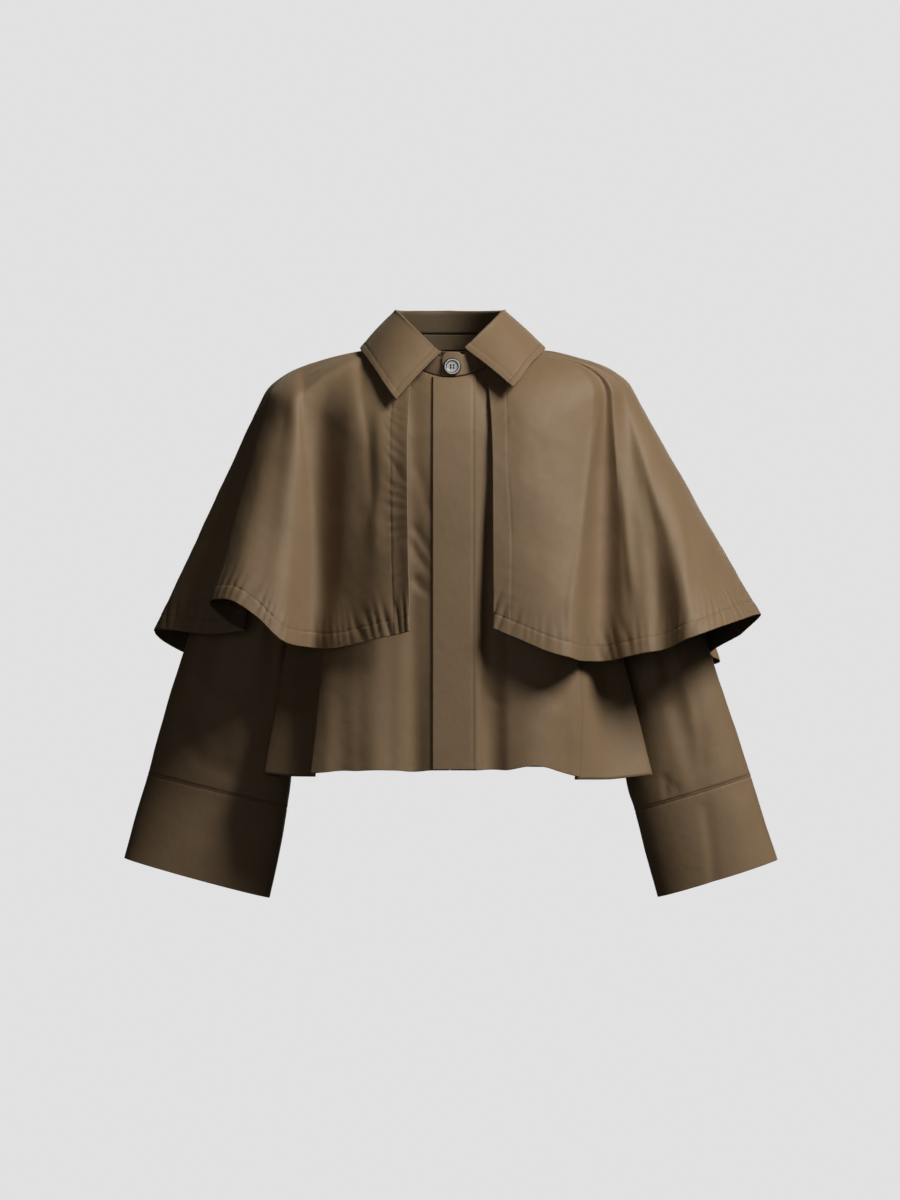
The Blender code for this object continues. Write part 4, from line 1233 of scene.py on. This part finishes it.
floor_mesh = bpy.data.meshes.new("floor")
corners = [(-30, -30, FLOOR_Z), (30, -30, FLOOR_Z), (30, 30, FLOOR_Z), (-30, 30, FLOOR_Z)]
floor_mesh.from_pydata(corners, [], [(0, 1, 2, 3)])
floor = placed("floor", floor_mesh)
pale = bpy.data.materials.new("Pale floor")
pale.use_nodes = True
glow = make_node(pale.node_tree, "ShaderNodeEmission",
                 [("Color", (1.0, 1.0, 1.0, 1.0)), ("Strength", BACKDROP)])
pale.node_tree.links.new(glow[0], pale.node_tree.nodes["Material Output"].inputs["Surface"])
floor_mesh.materials.append(pale)
floor.visible_diffuse = False
floor.visible_glossy = False

for light in LIGHTS:
    soft_light(*light)

# Finishes
weave = weave_group()
cloth_finish = gabardine("Olive-brown gabardine", CLOTH_DARK, CLOTH_LIGHT, weave)
# The same cloth darkened: painted shade for inner sides and the inside of the neck
inside_painted_shade_finish = gabardine("Gabardine, inside in painted shade", INSIDE_PAINTED_SHADE_DARK, INSIDE_PAINTED_SHADE_LIGHT, weave)
thread_finish = plain_grain("Brown thread", (0.075, 0.052, 0.032), (0.12, 0.085, 0.055), 0.6, 900.0, 0.0001)
dark_thread = plain_grain("Dark button thread", (0.012, 0.010, 0.009), (0.024, 0.020, 0.017), 0.6,
                          900.0, 0.0001)
button_finish = plain_grain("Polished grey horn", (0.62, 0.61, 0.60), (0.36, 0.35, 0.34), 0.22,
                            160.0, 0.00003)
# Near black for the button's rim slopes, edge and holes: painted shade
button_painted_shade_finish = plain_grain("Button painted shade", (0.014, 0.012, 0.011), (0.028, 0.025, 0.022), 0.40,
                         300.0, 0.00003)

# Cloth
armhole_loops = {side: armhole_loop(side) for side in ("right", "left")}
threads = []


def sew(node, grid, thickness, closed=False, lines=(), painted_shade_rows=0, **dressing):
    """Dresses a grid, makes its piece in place of the CAD node and keeps its stitch lines."""
    shaped = dressed(grid, closed, **dressing)
    piece = cloth("cloth_" + node, shaped, thickness, closed, painted_shade_rows)
    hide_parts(node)
    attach(piece, "root")
    for edge, distance in lines:
        threads.append(stitch_line(shaped, edge, distance, closed))


for side in ("right", "left"):
    sew("front_" + side, front_grid(side), SINGLE_CLOTH, front=FRONT_CREASES[side], sewn=("top",))
    sew("side_panel_" + side, side_panel_grid(side), SINGLE_CLOTH, sewn=("top", "left", "right"),
        waves=0.0005)
    sew("sleeve_" + side, sleeve_grid(side), SINGLE_CLOTH, closed=True, front=SLEEVE_FRONT_CREASES[side],
        back=SLEEVE_BACK_CREASES[side], sewn=("top", "bottom"))
    cuff_seam = (0.002, 0.0004, 0.011, 0.014, 3.0 + side_sign(side))
    sew("cuff_" + side, cuff_grid(side), DOUBLE_CLOTH, closed=True, front=CUFF_CREASES[side], sewn=("top",),
        waves=0.0005, seams=(("top", cuff_seam),), lines=(("top", 0.002),))
sew("back", back_grid(), SINGLE_CLOTH, back=BACK_CREASES, sewn=("top",))
sew("placket", placket_grid(), DOUBLE_CLOTH, waves=0.00025, lines=(("right", 0.003),),
    seams=(("right", (0.003, 0.00035, 0.012, 0.010, 5.0)),))

# The cape's seams: distance from the edge, pucker height, spacing, reach and seed
hem_line = ("bottom", CAPE_HEM_DEPTH)
right_ribs = [(-rib[0],) + rib[1:] for rib in reversed(CAPE_RIGHT_RIBS)]
back_ribs = [(-rib[0],) + rib[1:] for rib in reversed(CAPE_BACK_RIBS)]
sew("cape_front_right", cape_grid(right_ribs, 0.0030, 0.0, ("right",)), SINGLE_CLOTH,
    front=CAPE_RIGHT_CREASES,
    seams=(("bottom", (CAPE_HEM_DEPTH, 0.0030, 0.0118, 0.020, 1.0)),
           ("right", (CAPE_BAND, 0.0016, 0.016, 0.008, 7.0))),
    sewn=("top", "left"), waves=CAPE_WAVES, lines=(hem_line, ("right", CAPE_BAND)))
sew("cape_front_left", cape_grid(CAPE_LEFT_RIBS[::-1], 0.0030, 0.0, ("left",)), SINGLE_CLOTH,
    front=CAPE_LEFT_CREASES,
    seams=(("bottom", (CAPE_HEM_DEPTH, 0.0034, 0.0118, 0.022, 2.95)),
           ("left", (CAPE_BAND, 0.0005, 0.016, 0.008, 8.0))),
    sewn=("top", "right"), waves=CAPE_WAVES, lines=(hem_line, ("left", CAPE_BAND)))
sew("cape_back", cape_grid(back_ribs, 0.0036, 0.0002, ()), SINGLE_CLOTH, back=CAPE_BACK_CREASES,
    seams=(("bottom", (CAPE_HEM_DEPTH, 0.0028, 0.0122, 0.022, 6.0)),), sewn=("top", "left", "right"),
    waves=CAPE_WAVES, lines=(hem_line,))

sew("collar_stand", stand_grid(), DOUBLE_CLOTH, waves=0.0002, sewn=("top", "bottom"),
    lines=(("left", 0.003),))
fall_seams = (("bottom", 0.0005, 0.014, 9.0), ("left", 0.0003, 0.013, 3.0), ("right", 0.0003, 0.013, 5.0))
# The fall's first ten rows, up the inside of the neck, are painted darker as painted shade
sew("collar_fall", fall_grid(), DOUBLE_CLOTH, waves=0.0004, sewn=("top",), painted_shade_rows=10,
    seams=[(edge, (COLLAR_STITCH, pucker, spacing, 0.008, seed))
           for edge, pucker, spacing, seed in fall_seams],
    lines=(("bottom", COLLAR_STITCH), ("top", 0.0045)))

stitching = stitched("stitching", threads, stitch_tree(), thread_finish)
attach(stitching, "root")

seat_y = neck_point(0.0, out=0.001 + STAND_LAP).y + BUTTON_SEAT
button_lean = Matrix.Rotation(math.radians(90.0 - BUTTON_TILT), 4, "X")
seat = Matrix.Translation((BUTTON_X, seat_y, BUTTON_Z)) @ button_lean
button = placed("button", turned_button(button_finish, button_painted_shade_finish))
button_thread = placed("button_thread", button_strands(dark_thread))
button.data.transform(seat)
button_thread.data.transform(seat)
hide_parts("neck_button")
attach(button, "root")
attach(button_thread, "root")
